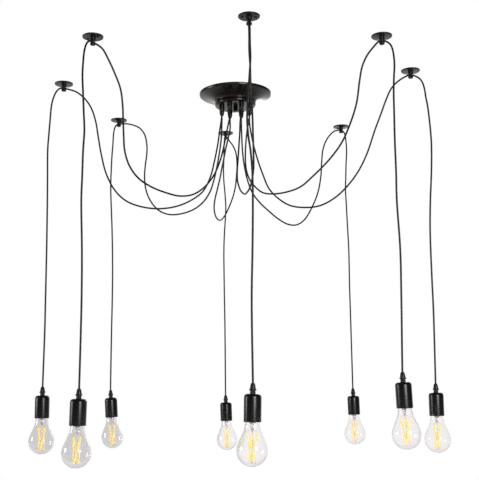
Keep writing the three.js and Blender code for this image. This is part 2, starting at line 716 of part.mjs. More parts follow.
ARMS.forEach((arm, step) => {
  const places = placesOf(arm, step);
  light.add(meshOf(`feed_cord_${arm.name}`, cord(feedRoute(arm, places)), "cord"));
  light.add(meshOf(`drop_cord_${arm.name}`, cord(dropRoute(arm, places)), "cord"));

  const hook = new THREE.Group();
  hook.position.set(places.hook.x, places.hook.y, 0);
  hook.rotation.z = places.outward.angle();
  hook.add(meshOf(`hook_${arm.name}`, ceilingHook(), "hook"));
  hook.add(meshOf(`hook_cap_${arm.name}`, hookCap(), "hook"));
  light.add(hook);

  const lamp = new THREE.Group();
  lamp.position.copy(places.lamp);
  lamp.rotation.y = -THREE.MathUtils.degToRad(arm.lean);
  lamp.add(meshOf(`lampholder_${arm.name}`, lampholder(), "holder"));
  lamp.add(meshOf(`bulb_glass_${arm.name}`, bulbGlass(), "glass"));
  const core = meshOf(`bulb_core_${arm.name}`, bulbCore(), "core");
  core.rotation.z = THREE.MathUtils.degToRad(arm.turn);
  lamp.add(core);
  light.add(lamp);
});

export default light;
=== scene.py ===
"""A ceiling light with eight bulbs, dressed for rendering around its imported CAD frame.

Cords leave one canopy, swag over eight ceiling hooks and hang straight down to a lampholder and a bulb.
Lengths are metres. The ceiling is the plane z = 0, the canopy's middle is the origin and +Z is up.
"""

import math
from typing import NamedTuple

import bpy
import numpy as np
from mathutils import Matrix, Vector


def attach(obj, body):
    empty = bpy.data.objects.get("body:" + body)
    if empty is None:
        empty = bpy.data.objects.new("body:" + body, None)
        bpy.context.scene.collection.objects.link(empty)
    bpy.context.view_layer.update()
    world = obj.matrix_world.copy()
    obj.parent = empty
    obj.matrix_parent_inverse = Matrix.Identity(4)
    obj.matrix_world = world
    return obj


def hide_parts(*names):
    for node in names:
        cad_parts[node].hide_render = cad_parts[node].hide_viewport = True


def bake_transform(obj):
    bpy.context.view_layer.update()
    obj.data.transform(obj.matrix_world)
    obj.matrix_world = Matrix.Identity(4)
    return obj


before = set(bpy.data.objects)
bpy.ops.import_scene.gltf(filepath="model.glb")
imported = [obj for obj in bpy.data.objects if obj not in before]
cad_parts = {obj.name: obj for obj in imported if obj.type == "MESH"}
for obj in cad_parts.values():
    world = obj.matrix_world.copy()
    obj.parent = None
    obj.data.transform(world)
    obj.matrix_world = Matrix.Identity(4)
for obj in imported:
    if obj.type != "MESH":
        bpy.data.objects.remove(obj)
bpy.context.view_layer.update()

bl_info = {
    "name": "Multi-light pendant light",
    "version": (1, 0, 0),
    "blender": (4, 5, 0),
    "location": "3D View > Sidebar > Pendant light",
    "description": "Builds the looks of a ceiling light whose eight bulbs hang from cords over ceiling hooks",
    "category": "Add Mesh",
}


class Arm(NamedTuple):
    """One arm. Its hook and hang are the plan places of its hook and of where its cord turns down, its lamp
    is the lamp's x and height, its lean is the lamp's and its turn that of what is inside the glass about
    the bulb's own axis, both in degrees.

    A feed point is (run, height, side): a negative run lies on the line from the hook to the canopy grip,
    a positive one on the line from the hook to the hang place. A drop point is (x from the lamp, height).
    """

    name: str
    hook: tuple
    hang: tuple
    lamp: tuple
    lean: float
    turn: float
    feed: tuple
    drop: tuple


# Arms, counter-clockwise from above, starting at the one nearest to the camera
ARMS = (
    Arm(
        "near",
        hook=(0.03006, -0.4809),
        hang=(0.03098, -0.498),
        lamp=(0.02701, -0.74986),
        lean=-1.5,
        turn=0,
        feed=(
            (-0.445, -0.085, -0.003), (-0.442, -0.12, -0.005), (-0.435, -0.159, -0.008),
            (-0.42, -0.196, -0.011), (-0.4, -0.227, -0.014), (-0.37, -0.261, -0.015),
            (-0.335, -0.287, -0.012), (-0.295, -0.306, -0.009), (-0.255, -0.321, -0.003),
            (-0.22, -0.325, 0.001), (-0.183, -0.322, 0.006), (-0.15, -0.313, 0.009),
            (-0.115, -0.295, 0.011), (-0.09, -0.262, 0.01), (-0.08, -0.225, 0.009),
            (-0.077, -0.177, 0.008), (-0.075, -0.145, 0.006), (-0.069, -0.113, 0.005),
            (-0.06, -0.084, 0.004), (-0.046, -0.057, 0.0017), (-0.027, -0.032, 0.0011),
            (0.011, -0.0165, 0), (0.0145, -0.023, 0), (0.0163, -0.033, 0), (0.0171, -0.048, 0),
        ),
        drop=(
            (0.0046, -0.09), (0.0037, -0.112), (0.001, -0.146), (-0.002, -0.186), (-0.004, -0.226),
            (-0.002, -0.262), (0.002, -0.292), (0.005, -0.34), (0.005, -0.4), (0.003, -0.49),
            (0, -0.59),
        ),
    ),
    Arm(
        "near_right",
        hook=(0.3231, -0.36907),
        hang=(0.34799, -0.37199),
        lamp=(0.338, -0.73192),
        lean=1.5,
        turn=66,
        feed=(
            (-0.459, -0.08, 0), (-0.466, -0.103, 0), (-0.472, -0.135, 0), (-0.475, -0.17, 0),
            (-0.472, -0.208, 0), (-0.458, -0.238, 0), (-0.435, -0.262, 0), (-0.408, -0.28, 0),
            (-0.37, -0.29, 0), (-0.318, -0.294, 0), (-0.27, -0.29, 0), (-0.226, -0.272, 0),
            (-0.172, -0.244, 0), (-0.13, -0.212, 0), (-0.102, -0.174, 0), (-0.081, -0.132, 0),
            (-0.07, -0.085, 0), (-0.06, -0.052, 0), (-0.044, -0.031, 0), (-0.025, -0.018, 0),
            (0.012, -0.0153, 0), (0.018, -0.021, 0), (0.022, -0.031, 0), (0.0245, -0.048, 0),
        ),
        drop=(
            (0.008, -0.094), (0.006, -0.128), (0.005, -0.179), (0.004, -0.24), (0.004, -0.307),
            (0.003, -0.369), (0.006, -0.477), (0.004, -0.583),
        ),
    ),
    Arm(
        "right",
        hook=(0.42918, -0.15116),
        hang=(0.46401, -0.152),
        lamp=(0.45499, -0.75766),
        lean=-0.5,
        turn=47,
        feed=(
            (-0.426, -0.085, 0), (-0.422, -0.11, 0), (-0.415, -0.144, 0), (-0.404, -0.184, 0),
            (-0.392, -0.219, 0), (-0.376, -0.258, 0), (-0.352, -0.286, 0), (-0.32, -0.308, 0),
            (-0.282, -0.317, 0), (-0.24, -0.316, 0), (-0.2, -0.299, 0), (-0.165, -0.27, 0),
            (-0.138, -0.237, 0), (-0.115, -0.195, 0), (-0.094, -0.14, 0), (-0.077, -0.1, 0),
            (-0.062, -0.064, 0), (-0.048, -0.038, 0), (-0.028, -0.021, 0), (0.013, -0.0155, 0),
            (0.02, -0.02, 0), (0.027, -0.029, 0), (0.032, -0.046, 0),
        ),
        drop=(
            (0.012, -0.09), (0.015, -0.128), (0.017, -0.178), (0.016, -0.217), (0.013, -0.266),
            (0.008, -0.325), (0.004, -0.4), (0.003, -0.5), (0.003, -0.59),
        ),
    ),
    Arm(
        "far_right",
        hook=(0.31382, 0.31691),
        hang=(0.33, 0.32898),
        lamp=(0.32602, -0.7717),
        lean=1,
        turn=58,
        feed=(
            (-0.41, -0.087, 0), (-0.409, -0.115, 0), (-0.407, -0.15, 0), (-0.401, -0.188, 0),
            (-0.391, -0.222, 0), (-0.374, -0.254, 0), (-0.346, -0.278, 0), (-0.31, -0.298, 0),
            (-0.276, -0.314, 0), (-0.24, -0.324, 0), (-0.205, -0.322, 0), (-0.172, -0.304, 0),
            (-0.14, -0.266, 0), (-0.112, -0.218, 0), (-0.097, -0.168, 0), (-0.092, -0.128, 0),
            (-0.085, -0.088, 0), (-0.069, -0.056, 0), (-0.048, -0.033, 0), (-0.028, -0.019, 0),
            (0.012, -0.017, 0), (0.016, -0.025, 0), (0.0187, -0.042, 0),
        ),
        drop=(
            (0.001, -0.115), (-0.001, -0.154), (-0.003, -0.19), (-0.002, -0.231), (-0.001, -0.28),
            (0.001, -0.371), (0, -0.48), (0, -0.59),
        ),
    ),
    Arm(
        "far",
        hook=(-0.03094, 0.37084),
        hang=(-0.037, 0.39099),
        lamp=(-0.03898, -0.7873),
        lean=1.5,
        turn=11,
        feed=(
            (-0.334, -0.086, 0), (-0.332, -0.111, 0.005), (-0.327, -0.14, 0.012),
            (-0.321, -0.165, 0.017), (-0.313, -0.188, 0.022), (-0.303, -0.213, 0.027),
            (-0.287, -0.24, 0.034), (-0.267, -0.263, 0.04), (-0.243, -0.28, 0.042),
            (-0.217, -0.295, 0.039), (-0.193, -0.303, 0.032), (-0.17, -0.302, 0.023),
            (-0.145, -0.29, 0.014), (-0.123, -0.271, 0.004), (-0.103, -0.244, -0.007),
            (-0.087, -0.212, -0.018), (-0.079, -0.18, -0.025), (-0.075, -0.149, -0.028),
            (-0.071, -0.118, -0.03), (-0.063, -0.082, -0.028), (-0.05, -0.057, -0.021),
            (-0.032, -0.036, -0.011), (0.012, -0.017, 0), (0.0165, -0.025, 0), (0.0195, -0.042, 0),
        ),
        drop=(
            (0, -0.11), (0.001, -0.147), (0.004, -0.186), (0.006, -0.226), (0.004, -0.266),
            (0.001, -0.31), (-0.001, -0.357), (-0.001, -0.45), (0, -0.59),
        ),
    ),
    Arm(
        "far_left",
        hook=(-0.33592, 0.22807),
        hang=(-0.354, 0.23802),
        lamp=(-0.35298, -0.76702),
        lean=3,
        turn=68,
        feed=(
            (-0.367, -0.087, 0), (-0.365, -0.12, 0), (-0.359, -0.155, 0), (-0.351, -0.19, 0),
            (-0.341, -0.224, 0), (-0.327, -0.256, 0), (-0.304, -0.281, 0), (-0.27, -0.297, 0),
            (-0.226, -0.303, 0), (-0.185, -0.299, 0), (-0.15, -0.283, 0), (-0.12, -0.252, 0),
            (-0.104, -0.218, 0), (-0.099, -0.182, 0), (-0.102, -0.148, 0), (-0.107, -0.118, 0),
            (-0.107, -0.092, 0), (-0.099, -0.062, 0), (-0.08, -0.039, 0), (-0.054, -0.025, 0),
            (-0.03, -0.017, 0), (0.012, -0.017, 0), (0.016, -0.025, 0), (0.019, -0.042, 0),
        ),
        drop=(
            (-0.003, -0.097), (-0.005, -0.145), (-0.006, -0.186), (-0.005, -0.227), (-0.003, -0.268),
            (0, -0.34), (0.002, -0.43), (0.002, -0.519), (0.001, -0.6),
        ),
    ),
    Arm(
        "left",
        hook=(-0.43183, -0.0831),
        hang=(-0.45999, -0.096),
        lamp=(-0.46498, -0.75376),
        lean=0,
        turn=78,
        feed=(
            (-0.4, -0.082, 0), (-0.396, -0.107, 0), (-0.391, -0.142, 0), (-0.382, -0.187, 0),
            (-0.371, -0.23, 0), (-0.352, -0.268, 0), (-0.322, -0.292, 0), (-0.284, -0.309, 0),
            (-0.24, -0.316, 0), (-0.196, -0.312, 0), (-0.158, -0.298, 0), (-0.13, -0.272, 0),
            (-0.108, -0.23, 0), (-0.095, -0.18, 0), (-0.087, -0.135, 0), (-0.08, -0.095, 0),
            (-0.068, -0.06, 0), (-0.051, -0.036, 0), (-0.03, -0.02, 0), (0.013, -0.0165, 0),
            (0.02, -0.026, 0), (0.026, -0.042, 0), (0.0293, -0.056, 0),
        ),
        drop=(
            (0.003, -0.103), (0.001, -0.135), (-0.001, -0.176), (0, -0.24), (0.001, -0.302),
            (0.002, -0.426), (0.002, -0.548), (0.002, -0.62),
        ),
    ),
    Arm(
        "near_left",
        hook=(-0.30896, -0.38189),
        hang=(-0.32399, -0.41102),
        lamp=(-0.32098, -0.75688),
        lean=-1.5,
        turn=57,
        feed=(
            (-0.452, -0.082, 0), (-0.446, -0.103, 0), (-0.438, -0.13, 0), (-0.428, -0.165, 0),
            (-0.415, -0.2, 0), (-0.392, -0.24, 0), (-0.36, -0.274, 0), (-0.318, -0.301, 0),
            (-0.27, -0.313, 0), (-0.22, -0.312, 0), (-0.172, -0.305, 0), (-0.134, -0.291, 0),
            (-0.108, -0.267, 0), (-0.095, -0.236, 0), (-0.092, -0.205, 0), (-0.09, -0.17, 0),
            (-0.088, -0.135, 0), (-0.081, -0.098, 0), (-0.062, -0.064, 0), (-0.045, -0.04, 0),
            (-0.027, -0.02, 0), (0.014, -0.016, 0), (0.022, -0.024, 0), (0.028, -0.038, 0),
            (0.0313, -0.054, 0),
        ),
        drop=(
            (-0.004, -0.098), (-0.002, -0.14), (0, -0.18), (0.002, -0.219), (0, -0.265),
            (-0.001, -0.32), (-0.002, -0.37), (0.001, -0.475), (0.002, -0.578),
        ),
    ),
)

# Sizes that the pieces share with the CAD nodes. The lampholder's two are heights from its grip's tip
CORD_RADIUS = 0.0021
CORD_HOLE = 0.0023
BOSS_DEPTH = 0.0385
GRIP_RING_RADIUS = 0.039
GRIP_TIP_DEPTH = 0.058
DISC_DEPTH = 0.003
POST_DEPTH = 0.0091
PRONG_DEPTH = 0.0179
HOLDER_TOP = -0.02
HOLDER_RIM = -0.073

# The cords' way into a grip, over a hook and down
TUCK = 0.004
TIP_GAP = 0.0003
EXIT_STRAIGHT = 0.009
CLAMP_REACH = 0.0065
CLAMP_HEIGHT = 0.0115
ARCH_DROP = 0.0013
HANG_DEPTH = 0.07
STEPS_PER_POINT = 8

# The photograph's view: its width, the focal length and the shifts are in pixels, the sensor's width is in
# millimetres, and the camera's axes are its right, up and back
IMAGE_WIDTH = 479
FOCAL_PIXELS = 862.2
SENSOR_WIDTH = 36
VIEW_SHIFT = (-2.9, 4.4)
VIEW_PLACE = (0, -2.1693, -0.7442)
VIEW_AXES = ((0.99991, -0.0042, -0.01251), (0.0117, -0.1556, 0.98775), (-0.0061, -0.98781, -0.15553))

# Soft lamps: name, place, target, width, height, power and whether they are seen through glass
LAMPS = (
    ("Left lamp", (-3.2, -0.4, -0.35), (0, 0, -0.6), 1.0, 1.1, 25.0, True),
    ("Front right lamp", (1.0, -2.3, -0.35), (0, 0, -0.6), 0.8, 0.95, 28.0, False),
    ("Far lamp", (0.6, 2.4, 0.2), (0, 0, -0.5), 1.2, 1.2, 12.0, False),
)


# Properties that a user would change


def length_property(name, description, default):
    """A length in a group of settings."""
    return bpy.props.FloatProperty(name=name, description=description, default=default, unit="LENGTH")


def colour_property(name, description, default):
    """A colour in a group of settings."""
    return bpy.props.FloatVectorProperty(name=name, description=description, default=default, subtype="COLOR")


class CordSettings(bpy.types.PropertyGroup):
    """Size and finish of the eight cords."""

    diameter: length_property("Diameter", "Outside diameter of every cord", 2 * CORD_RADIUS)
    sides: bpy.props.IntProperty(name="Sides", description="Flats round a cord", default=14, min=6)
    colour: colour_property("Colour", "Colour of the cords' jacket", (0.0048, 0.0048, 0.0054))


class CanopySettings(bpy.types.PropertyGroup):
    """Sizes and finish of the canopy on the ceiling."""

    radius: length_property("Radius", "Radius of the cover's rim", 0.094)
    wall: length_property("Wall", "Thickness of the cover's sheet", 0.0016)
    colour: colour_property("Colour", "Colour of the cover's dark metal", (0.0035, 0.0022, 0.0018))
    grip_colour: colour_property("Grip colour", "Colour of the moulded cord grips", (0.003, 0.003, 0.0031))
    steel_colour: colour_property("Steel colour", "Colour of the plated bracket", (0.52, 0.53, 0.55))


class HookSettings(bpy.types.PropertyGroup):
    """Sizes and finish of the ceiling hooks."""

    disc_radius: length_property("Disc radius", "Radius of the disc on the ceiling", 0.023)
    colour: colour_property("Colour", "Colour of the disc and the cap", (0.007, 0.0056, 0.0055))
    screw_colour: colour_property("Screw colour", "Colour of the brassy screws", (0.075, 0.035, 0.012))


class HolderSettings(bpy.types.PropertyGroup):
    """Sizes and finish of the lampholders."""

    radius: length_property("Radius", "Outside radius of a lampholder", 0.017)
    shoulder: length_property("Shoulder", "Rounding of the top edge", 0.005)
    colour: colour_property("Colour", "Colour of the lampholders", (0.0028, 0.0028, 0.003))


class BulbSettings(bpy.types.PropertyGroup):
    """Sizes and finish of the bulbs."""

    radius: length_property("Radius", "Radius of the glass at its widest", 0.03)
    drop: length_property("Drop", "From the lampholder's rim to the bottom of the glass", 0.083)
    wall: length_property("Wall", "Thickness of the glass", 0.001)
    glass_colour: colour_property("Glass colour", "Tint of the clear glass", (0.962, 0.95, 0.95))
    # This colour is also the colour of the strips' painted glow
    strip_colour: colour_property("Strip colour", "Colour of the coated filament strips", (0.8, 0.55, 0.1))


class StageSettings(bpy.types.PropertyGroup):
    """The floor, the light and the camera."""

    floor_height: length_property("Floor height", "Height of the floor, with the ceiling at zero", -1.6)
    floor_reach: length_property("Floor reach", "Radius of the floor", 6.0)
    floor_colour: colour_property("Floor colour", "Colour of the pale floor", (0.8, 0.8, 0.8))
    ambient: bpy.props.FloatProperty(
        name="Ambient light", description="Strength of the light from all round", default=0.5, min=0)
    focal: bpy.props.FloatProperty(
        name="Focal length", description="Lens of the camera", unit="CAMERA",
        default=FOCAL_PIXELS * SENSOR_WIDTH / IMAGE_WIDTH)


class PendantLightSettings(bpy.types.PropertyGroup):
    """All the settings of the light."""

    cords: bpy.props.PointerProperty(type=CordSettings)
    canopy: bpy.props.PointerProperty(type=CanopySettings)
    hooks: bpy.props.PointerProperty(type=HookSettings)
    holders: bpy.props.PointerProperty(type=HolderSettings)
    bulbs: bpy.props.PointerProperty(type=BulbSettings)
    stage: bpy.props.PointerProperty(type=StageSettings)


# Surfaces, each a grid of points whose rows run along a profile or path and whose columns go once round


class Skin(NamedTuple):
    """A closed surface: its points, its faces and, for each face corner, a place round and along it."""

    points: np.ndarray
    faces: list
    corners: np.ndarray


def wrapped(grid, along=None, ring=False):
    """The skin over a grid (rows, columns, 3): the face between row i and column j joins the points
    (i, j), (i, j+1), (i+1, j+1) and (i+1, j), and the last column meets the first. An end row whose points
    all coincide becomes one pole, and the other end rows are left open, or meet if the grid is a ring."""
    rows, columns = grid.shape[:2]
    low = not ring and np.ptp(grid[0], axis=0).max() < 1e-9
    high = not ring and np.ptp(grid[-1], axis=0).max() < 1e-9
    index = np.arange(rows * columns).reshape(rows, columns)
    keep = np.ones((rows, columns), bool)
    keep[0, 1:] = not low
    keep[-1, 1:] = not high
    fresh = np.cumsum(keep).reshape(rows, columns) - 1
    index = np.where(keep, fresh, fresh[:, :1])
    along = np.linspace(0, 1, rows) if along is None else along
    if ring:
        index = np.vstack([index, index[:1]])
        along = np.append(along, 2 * along[-1] - along[-2])
    turned_on = np.roll(index, -1, axis=1)
    quads = np.stack([index[:-1], turned_on[:-1], turned_on[1:], index[1:]], axis=-1)
    u = np.arange(columns) / columns
    here = np.stack(np.broadcast_arrays(u[None, :], along[:, None]), axis=-1)
    there = here + [1 / columns, 0]
    corners = np.stack([here[:-1], there[:-1], there[1:], here[1:]], axis=2)
    first = 1 if low else 0
    last = len(quads) - (1 if high else 0)
    faces = quads[first:last].reshape(-1, 4).tolist()
    places = [corners[first:last].reshape(-1, 2)]
    if low:
        faces += quads[0][:, [0, 2, 3]].tolist()
        places.append(corners[0][:, [0, 2, 3]].reshape(-1, 2))
    if high:
        faces += quads[-1][:, [0, 1, 2]].tolist()
        places.append(corners[-1][:, [0, 1, 2]].reshape(-1, 2))
    return Skin(grid[keep], faces, np.vstack(places))


def softened(corners, reach, steps):
    """An open outline with its inner corners bent. With C a corner, and A and B on its two sides at the
    reach from it, or at half the side if that is shorter, a bend's point is (1-t)^2 A + 2t(1-t) C + t^2 B."""
    corners = np.asarray(corners, float)
    middle = corners[1:-1]
    reach = np.asarray(reach, float)
    back, on = corners[:-2] - middle, corners[2:] - middle
    a = middle + back * np.minimum(reach / np.linalg.norm(back, axis=1), 0.49)[:, None]
    b = middle + on * np.minimum(reach / np.linalg.norm(on, axis=1), 0.49)[:, None]
    t = np.linspace(0, 1, steps)[None, :, None]
    bends = (1 - t) ** 2 * a[:, None] + 2 * t * (1 - t) * middle[:, None] + t**2 * b[:, None]
    return np.vstack([corners[:1], bends.reshape(-1, 2), corners[-1:]])


def turned(profile, sides, ridge=None, ring=False):
    """A surface of revolution. The point at angle a on the profile point (r, z) is (r cos a, r sin a, z),
    with ridge(a, r, z) added to r. The profile runs up the outside."""
    r, z = np.asarray(profile, float).T
    a = np.linspace(0, 2 * np.pi, sides, endpoint=False)[None, :]
    radius = r[:, None] + (0 if ridge is None else ridge(a, r[:, None], z[:, None]))
    height = np.broadcast_to(z[:, None], (len(z), sides))
    radius = np.broadcast_to(radius, height.shape)
    return wrapped(np.stack([radius * np.cos(a), radius * np.sin(a), height], axis=-1), ring=ring)


def smooth_path(points, steps):
    """A centripetal Catmull-Rom curve through the points. Between P1 and P2, with P0 and P3 their
    neighbours and each knot interval the square root of a distance, it is the cubic whose end slopes are
    those of the curve's three nearest points. Past each end, the last step is repeated turned round."""
    p = np.asarray(points, float)
    p = np.vstack([2 * p[0] - p[1], p, 2 * p[-1] - p[-2]])
    p0, p1, p2, p3 = p[:-3], p[1:-2], p[2:-1], p[3:]
    d0, d1, d2 = (np.sqrt(np.linalg.norm(b - a, axis=1))[:, None] for a, b in ((p0, p1), (p1, p2), (p2, p3)))
    m1 = ((p1 - p0) / d0 - (p2 - p0) / (d0 + d1) + (p2 - p1) / d1) * d1
    m2 = ((p2 - p1) / d1 - (p3 - p1) / (d1 + d2) + (p3 - p2) / d2) * d1
    t = np.linspace(0, 1, steps, endpoint=False)[None, :, None]
    p1, p2, m1, m2 = (v[:, None] for v in (p1, p2, m1, m2))
    curve = (
        (2 * t**3 - 3 * t**2 + 1) * p1 + (t**3 - 2 * t**2 + t) * m1
        + (3 * t**2 - 2 * t**3) * p2 + (t**3 - t**2) * m2
    )
    return np.vstack([curve.reshape(-1, 3), p[-2]])


def tube(path, radius, sides, sideways):
    """A round tube. With T the path's direction at a point, S the sideways vector made square to T and
    L = T x S, the point at angle a is path + radius (S cos a + L sin a). Both ends are closed by a pole."""
    along = np.concatenate([[0], np.cumsum(np.linalg.norm(np.diff(path, axis=0), axis=1))])
    slope = np.gradient(path, along, axis=0)
    slope /= np.linalg.norm(slope, axis=1)[:, None]
    side = sideways - (slope @ sideways)[:, None] * slope
    side /= np.linalg.norm(side, axis=1)[:, None]
    lift = np.cross(slope, side)
    a = np.linspace(0, 2 * np.pi, sides, endpoint=False)[None, :, None]
    walls = path[:, None] + radius * (side[:, None] * np.cos(a) + lift[:, None] * np.sin(a))
    ends = np.broadcast_to(path[[0, -1], None], (2, sides, 3))
    grid = np.concatenate([ends[:1], walls, ends[1:]])
    return wrapped(grid, np.concatenate([along[:1], along, along[-1:]]))


def moved(skin, matrix=np.eye(3), place=(0, 0, 0)):
    """A skin turned by a 3 x 3 matrix and then moved: each point becomes matrix times point plus place."""
    return skin._replace(points=skin.points @ matrix.T + np.asarray(place, float))


def together(*skins):
    """Several skins as one: their points and faces in a row, the faces' numbers counted on."""
    starts = np.cumsum([0] + [len(s.points) for s in skins])
    faces = [[v + start for v in face] for s, start in zip(skins, starts) for face in s.faces]
    return Skin(np.vstack([s.points for s in skins]), faces, np.vstack([s.corners for s in skins]))


def about_z(angle):
    """The matrix of a turn about Z."""
    c, s = math.cos(angle), math.sin(angle)
    return np.array([[c, -s, 0], [s, c, 0], [0, 0, 1]])


def about_y(angle):
    """The matrix of a turn about Y."""
    c, s = math.cos(angle), math.sin(angle)
    return np.array([[c, 0, s], [0, 1, 0], [-s, 0, c]])


def smoothed(t):
    """A smooth step from 0 to 1: 3t^2 - 2t^3, with t held between 0 and 1."""
    t = np.clip(t, 0, 1)
    return t * t * (3 - 2 * t)


def piece(name, skin, material, body=None, replaces=(), sharp=38):
    """A mesh piece at the origin, its place in its mesh. It rides on its body and stands for CAD nodes."""
    mesh = bpy.data.meshes.new(name)
    mesh.from_pydata(skin.points.tolist(), [], skin.faces)
    layer = mesh.uv_layers.new(name="Surface")
    layer.uv.foreach_set("vector", skin.corners.astype(np.float32).ravel())
    mesh.shade_smooth()
    mesh.set_sharp_from_angle(angle=math.radians(sharp))
    mesh.materials.append(material)
    if mesh.validate():
        raise RuntimeError(f"the mesh of {name} has a broken face")
    made = bpy.data.objects.new(name, mesh)
    bpy.context.scene.collection.objects.link(made)
    if replaces:
        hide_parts(*replaces)
    if body is not None:
        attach(made, body)
    return made


def piece_per_arm(name, skin, frame_of, material, body, replaces="", sharp=38):
    """The same piece on every arm, at the turn and place that frame_of gives. Where a name, a body or a node
    holds {}, the arm's name takes its place."""
    for arm in ARMS:
        nodes = (replaces.format(arm.name),) if replaces else ()
        made = moved(skin, *frame_of(arm))
        piece(name.format(arm.name), made, material, body.format(arm.name), nodes, sharp)


def dress(node, material):
    """A CAD node's own mesh with a finish of its own."""
    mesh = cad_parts[node].data
    mesh.materials.clear()
    mesh.materials.append(material)


# Nodes, and the groups for the effects that several finishes share


def new_group(name, inputs, outputs):
    """An empty node group with named inputs and outputs, and its two end nodes."""
    group = bpy.data.node_groups.new(name, "ShaderNodeTree")
    for label, kind, value in inputs:
        group.interface.new_socket(name=label, in_out="INPUT", socket_type=kind).default_value = value
    for label, kind in outputs:
        group.interface.new_socket(name=label, in_out="OUTPUT", socket_type=kind)
    return group, group.nodes.new("NodeGroupInput"), group.nodes.new("NodeGroupOutput")


def feed(tree, value, socket):
    """Gives a socket a value, which is a number or another socket."""
    if isinstance(value, bpy.types.NodeSocket):
        tree.links.new(value, socket)
    else:
        socket.default_value = value


def calc(tree, operation, *values):
    """The result of one math node."""
    node = tree.nodes.new("ShaderNodeMath")
    node.operation = operation
    for socket, value in zip(node.inputs, values):
        feed(tree, value, socket)
    return node.outputs[0]


def shaded(tree, colour, factor):
    """A colour times a factor that is near one."""
    node = tree.nodes.new("ShaderNodeVectorMath")
    node.operation = "SCALE"
    tree.links.new(colour, node.inputs[0])
    tree.links.new(factor, node.inputs["Scale"])
    return node.outputs[0]


def noise_in(tree, vector, scale, detail=3.0):
    """The value of a noise texture."""
    node = tree.nodes.new("ShaderNodeTexNoise")
    tree.links.new(vector, node.inputs["Vector"])
    feed(tree, scale, node.inputs["Scale"])
    feed(tree, detail, node.inputs["Detail"])
    return node.outputs[0]


def coordinates(tree, kind):
    """One of the texture coordinates."""
    return tree.nodes.new("ShaderNodeTexCoord").outputs[kind]


def parts_of(tree, vector):
    """The x, y and z of a vector."""
    node = tree.nodes.new("ShaderNodeSeparateXYZ")
    tree.links.new(vector, node.inputs[0])
    return node.outputs


def fixed_colour(tree, colour):
    """A colour as a socket."""
    node = tree.nodes.new("ShaderNodeRGB")
    node.outputs[0].default_value = (*colour, 1)
    return node.outputs[0]


def ramp(tree, value, start, end, low, high):
    """A value that runs from low to high while another runs from start to end, and is held outside."""
    node = tree.nodes.new("ShaderNodeMapRange")
    for label, number in (("From Min", start), ("From Max", end), ("To Min", low), ("To Max", high)):
        node.inputs[label].default_value = number
    tree.links.new(value, node.inputs["Value"])
    return node.outputs[0]


def satin_group():
    """Broad unevenness and fine grain of a coated or moulded surface, on Object coordinates. With n the broad
    noise - 1/2 plus half the fine noise - 1/4, the colour is times 1 + change n, spread n is added to the
    roughness, and the fine noise is the height."""
    found = bpy.data.node_groups.get("Satin grain")
    if found:
        return found
    group, given, result = new_group(
        "Satin grain",
        [("Colour", "NodeSocketColor", (0.5, 0.5, 0.5, 1)), ("Change", "NodeSocketFloat", 0.2),
         ("Broad Scale", "NodeSocketFloat", 40.0), ("Roughness", "NodeSocketFloat", 0.4),
         ("Spread", "NodeSocketFloat", 0.1), ("Fine Scale", "NodeSocketFloat", 900.0)],
        [("Colour", "NodeSocketColor"), ("Roughness", "NodeSocketFloat"), ("Height", "NodeSocketFloat")])
    place = coordinates(group, "Object")
    broad = calc(group, "SUBTRACT", noise_in(group, place, given.outputs["Broad Scale"]), 0.5)
    fine = noise_in(group, place, given.outputs["Fine Scale"], 2.0)
    mixed = calc(group, "ADD", broad, calc(group, "MULTIPLY", calc(group, "SUBTRACT", fine, 0.5), 0.5))
    factor = calc(group, "MULTIPLY_ADD", mixed, given.outputs["Change"], 1.0)
    rough = calc(group, "MULTIPLY_ADD", mixed, given.outputs["Spread"], given.outputs["Roughness"])
    colour = shaded(group, given.outputs["Colour"], factor)
    for label, value in (("Colour", colour), ("Roughness", rough), ("Height", fine)):
        group.links.new(value, result.inputs[label])
    return group


def braid_group():
    """Two families of strands wound both ways round a cord, on its own UV map: with u once round and v
    metres along, height is the greater of |sin pi(nu + v/p)| and |sin pi(nu - v/p)|."""
    group, given, result = new_group(
        "Cord braid",
        [("Colour", "NodeSocketColor", (0.02, 0.02, 0.02, 1)), ("Strands", "NodeSocketFloat", 12.0),
         ("Pitch", "NodeSocketFloat", 0.0011), ("Contrast", "NodeSocketFloat", 0.15)],
        [("Colour", "NodeSocketColor"), ("Height", "NodeSocketFloat")])
    spot = parts_of(group, coordinates(group, "UV"))
    round_it = calc(group, "MULTIPLY", spot[0], given.outputs["Strands"])
    along_it = calc(group, "DIVIDE", spot[1], given.outputs["Pitch"])
    families = []
    for operation in ("ADD", "SUBTRACT"):
        angle = calc(group, "MULTIPLY", calc(group, operation, round_it, along_it), math.pi)
        families.append(calc(group, "ABSOLUTE", calc(group, "SINE", angle)))
    height = calc(group, "MAXIMUM", *families)
    mean_height = 0.8
    above = calc(group, "SUBTRACT", height, mean_height)
    factor = calc(group, "MULTIPLY_ADD", above, given.outputs["Contrast"], 1.0)
    group.links.new(shaded(group, given.outputs["Colour"], factor), result.inputs["Colour"])
    group.links.new(height, result.inputs["Height"])
    return group


# Finishes


def plain_finish(name, **constants):
    """A material whose shader sockets hold the given constants. Returns its tree and its shader node too."""
    material = bpy.data.materials.new(name)
    material.use_nodes = True
    tree = material.node_tree
    shader = tree.nodes["Principled BSDF"]
    for label, value in constants.items():
        shader.inputs[label.replace("_", " ")].default_value = value
    return material, tree, shader


def placed_group(tree, group, colour, **values):
    """A node that holds a group, with its colour and its own values."""
    node = tree.nodes.new("ShaderNodeGroup")
    node.node_tree = group
    node.inputs["Colour"].default_value = (*colour, 1)
    for label, value in values.items():
        node.inputs[label.replace("_", " ")].default_value = value
    return node


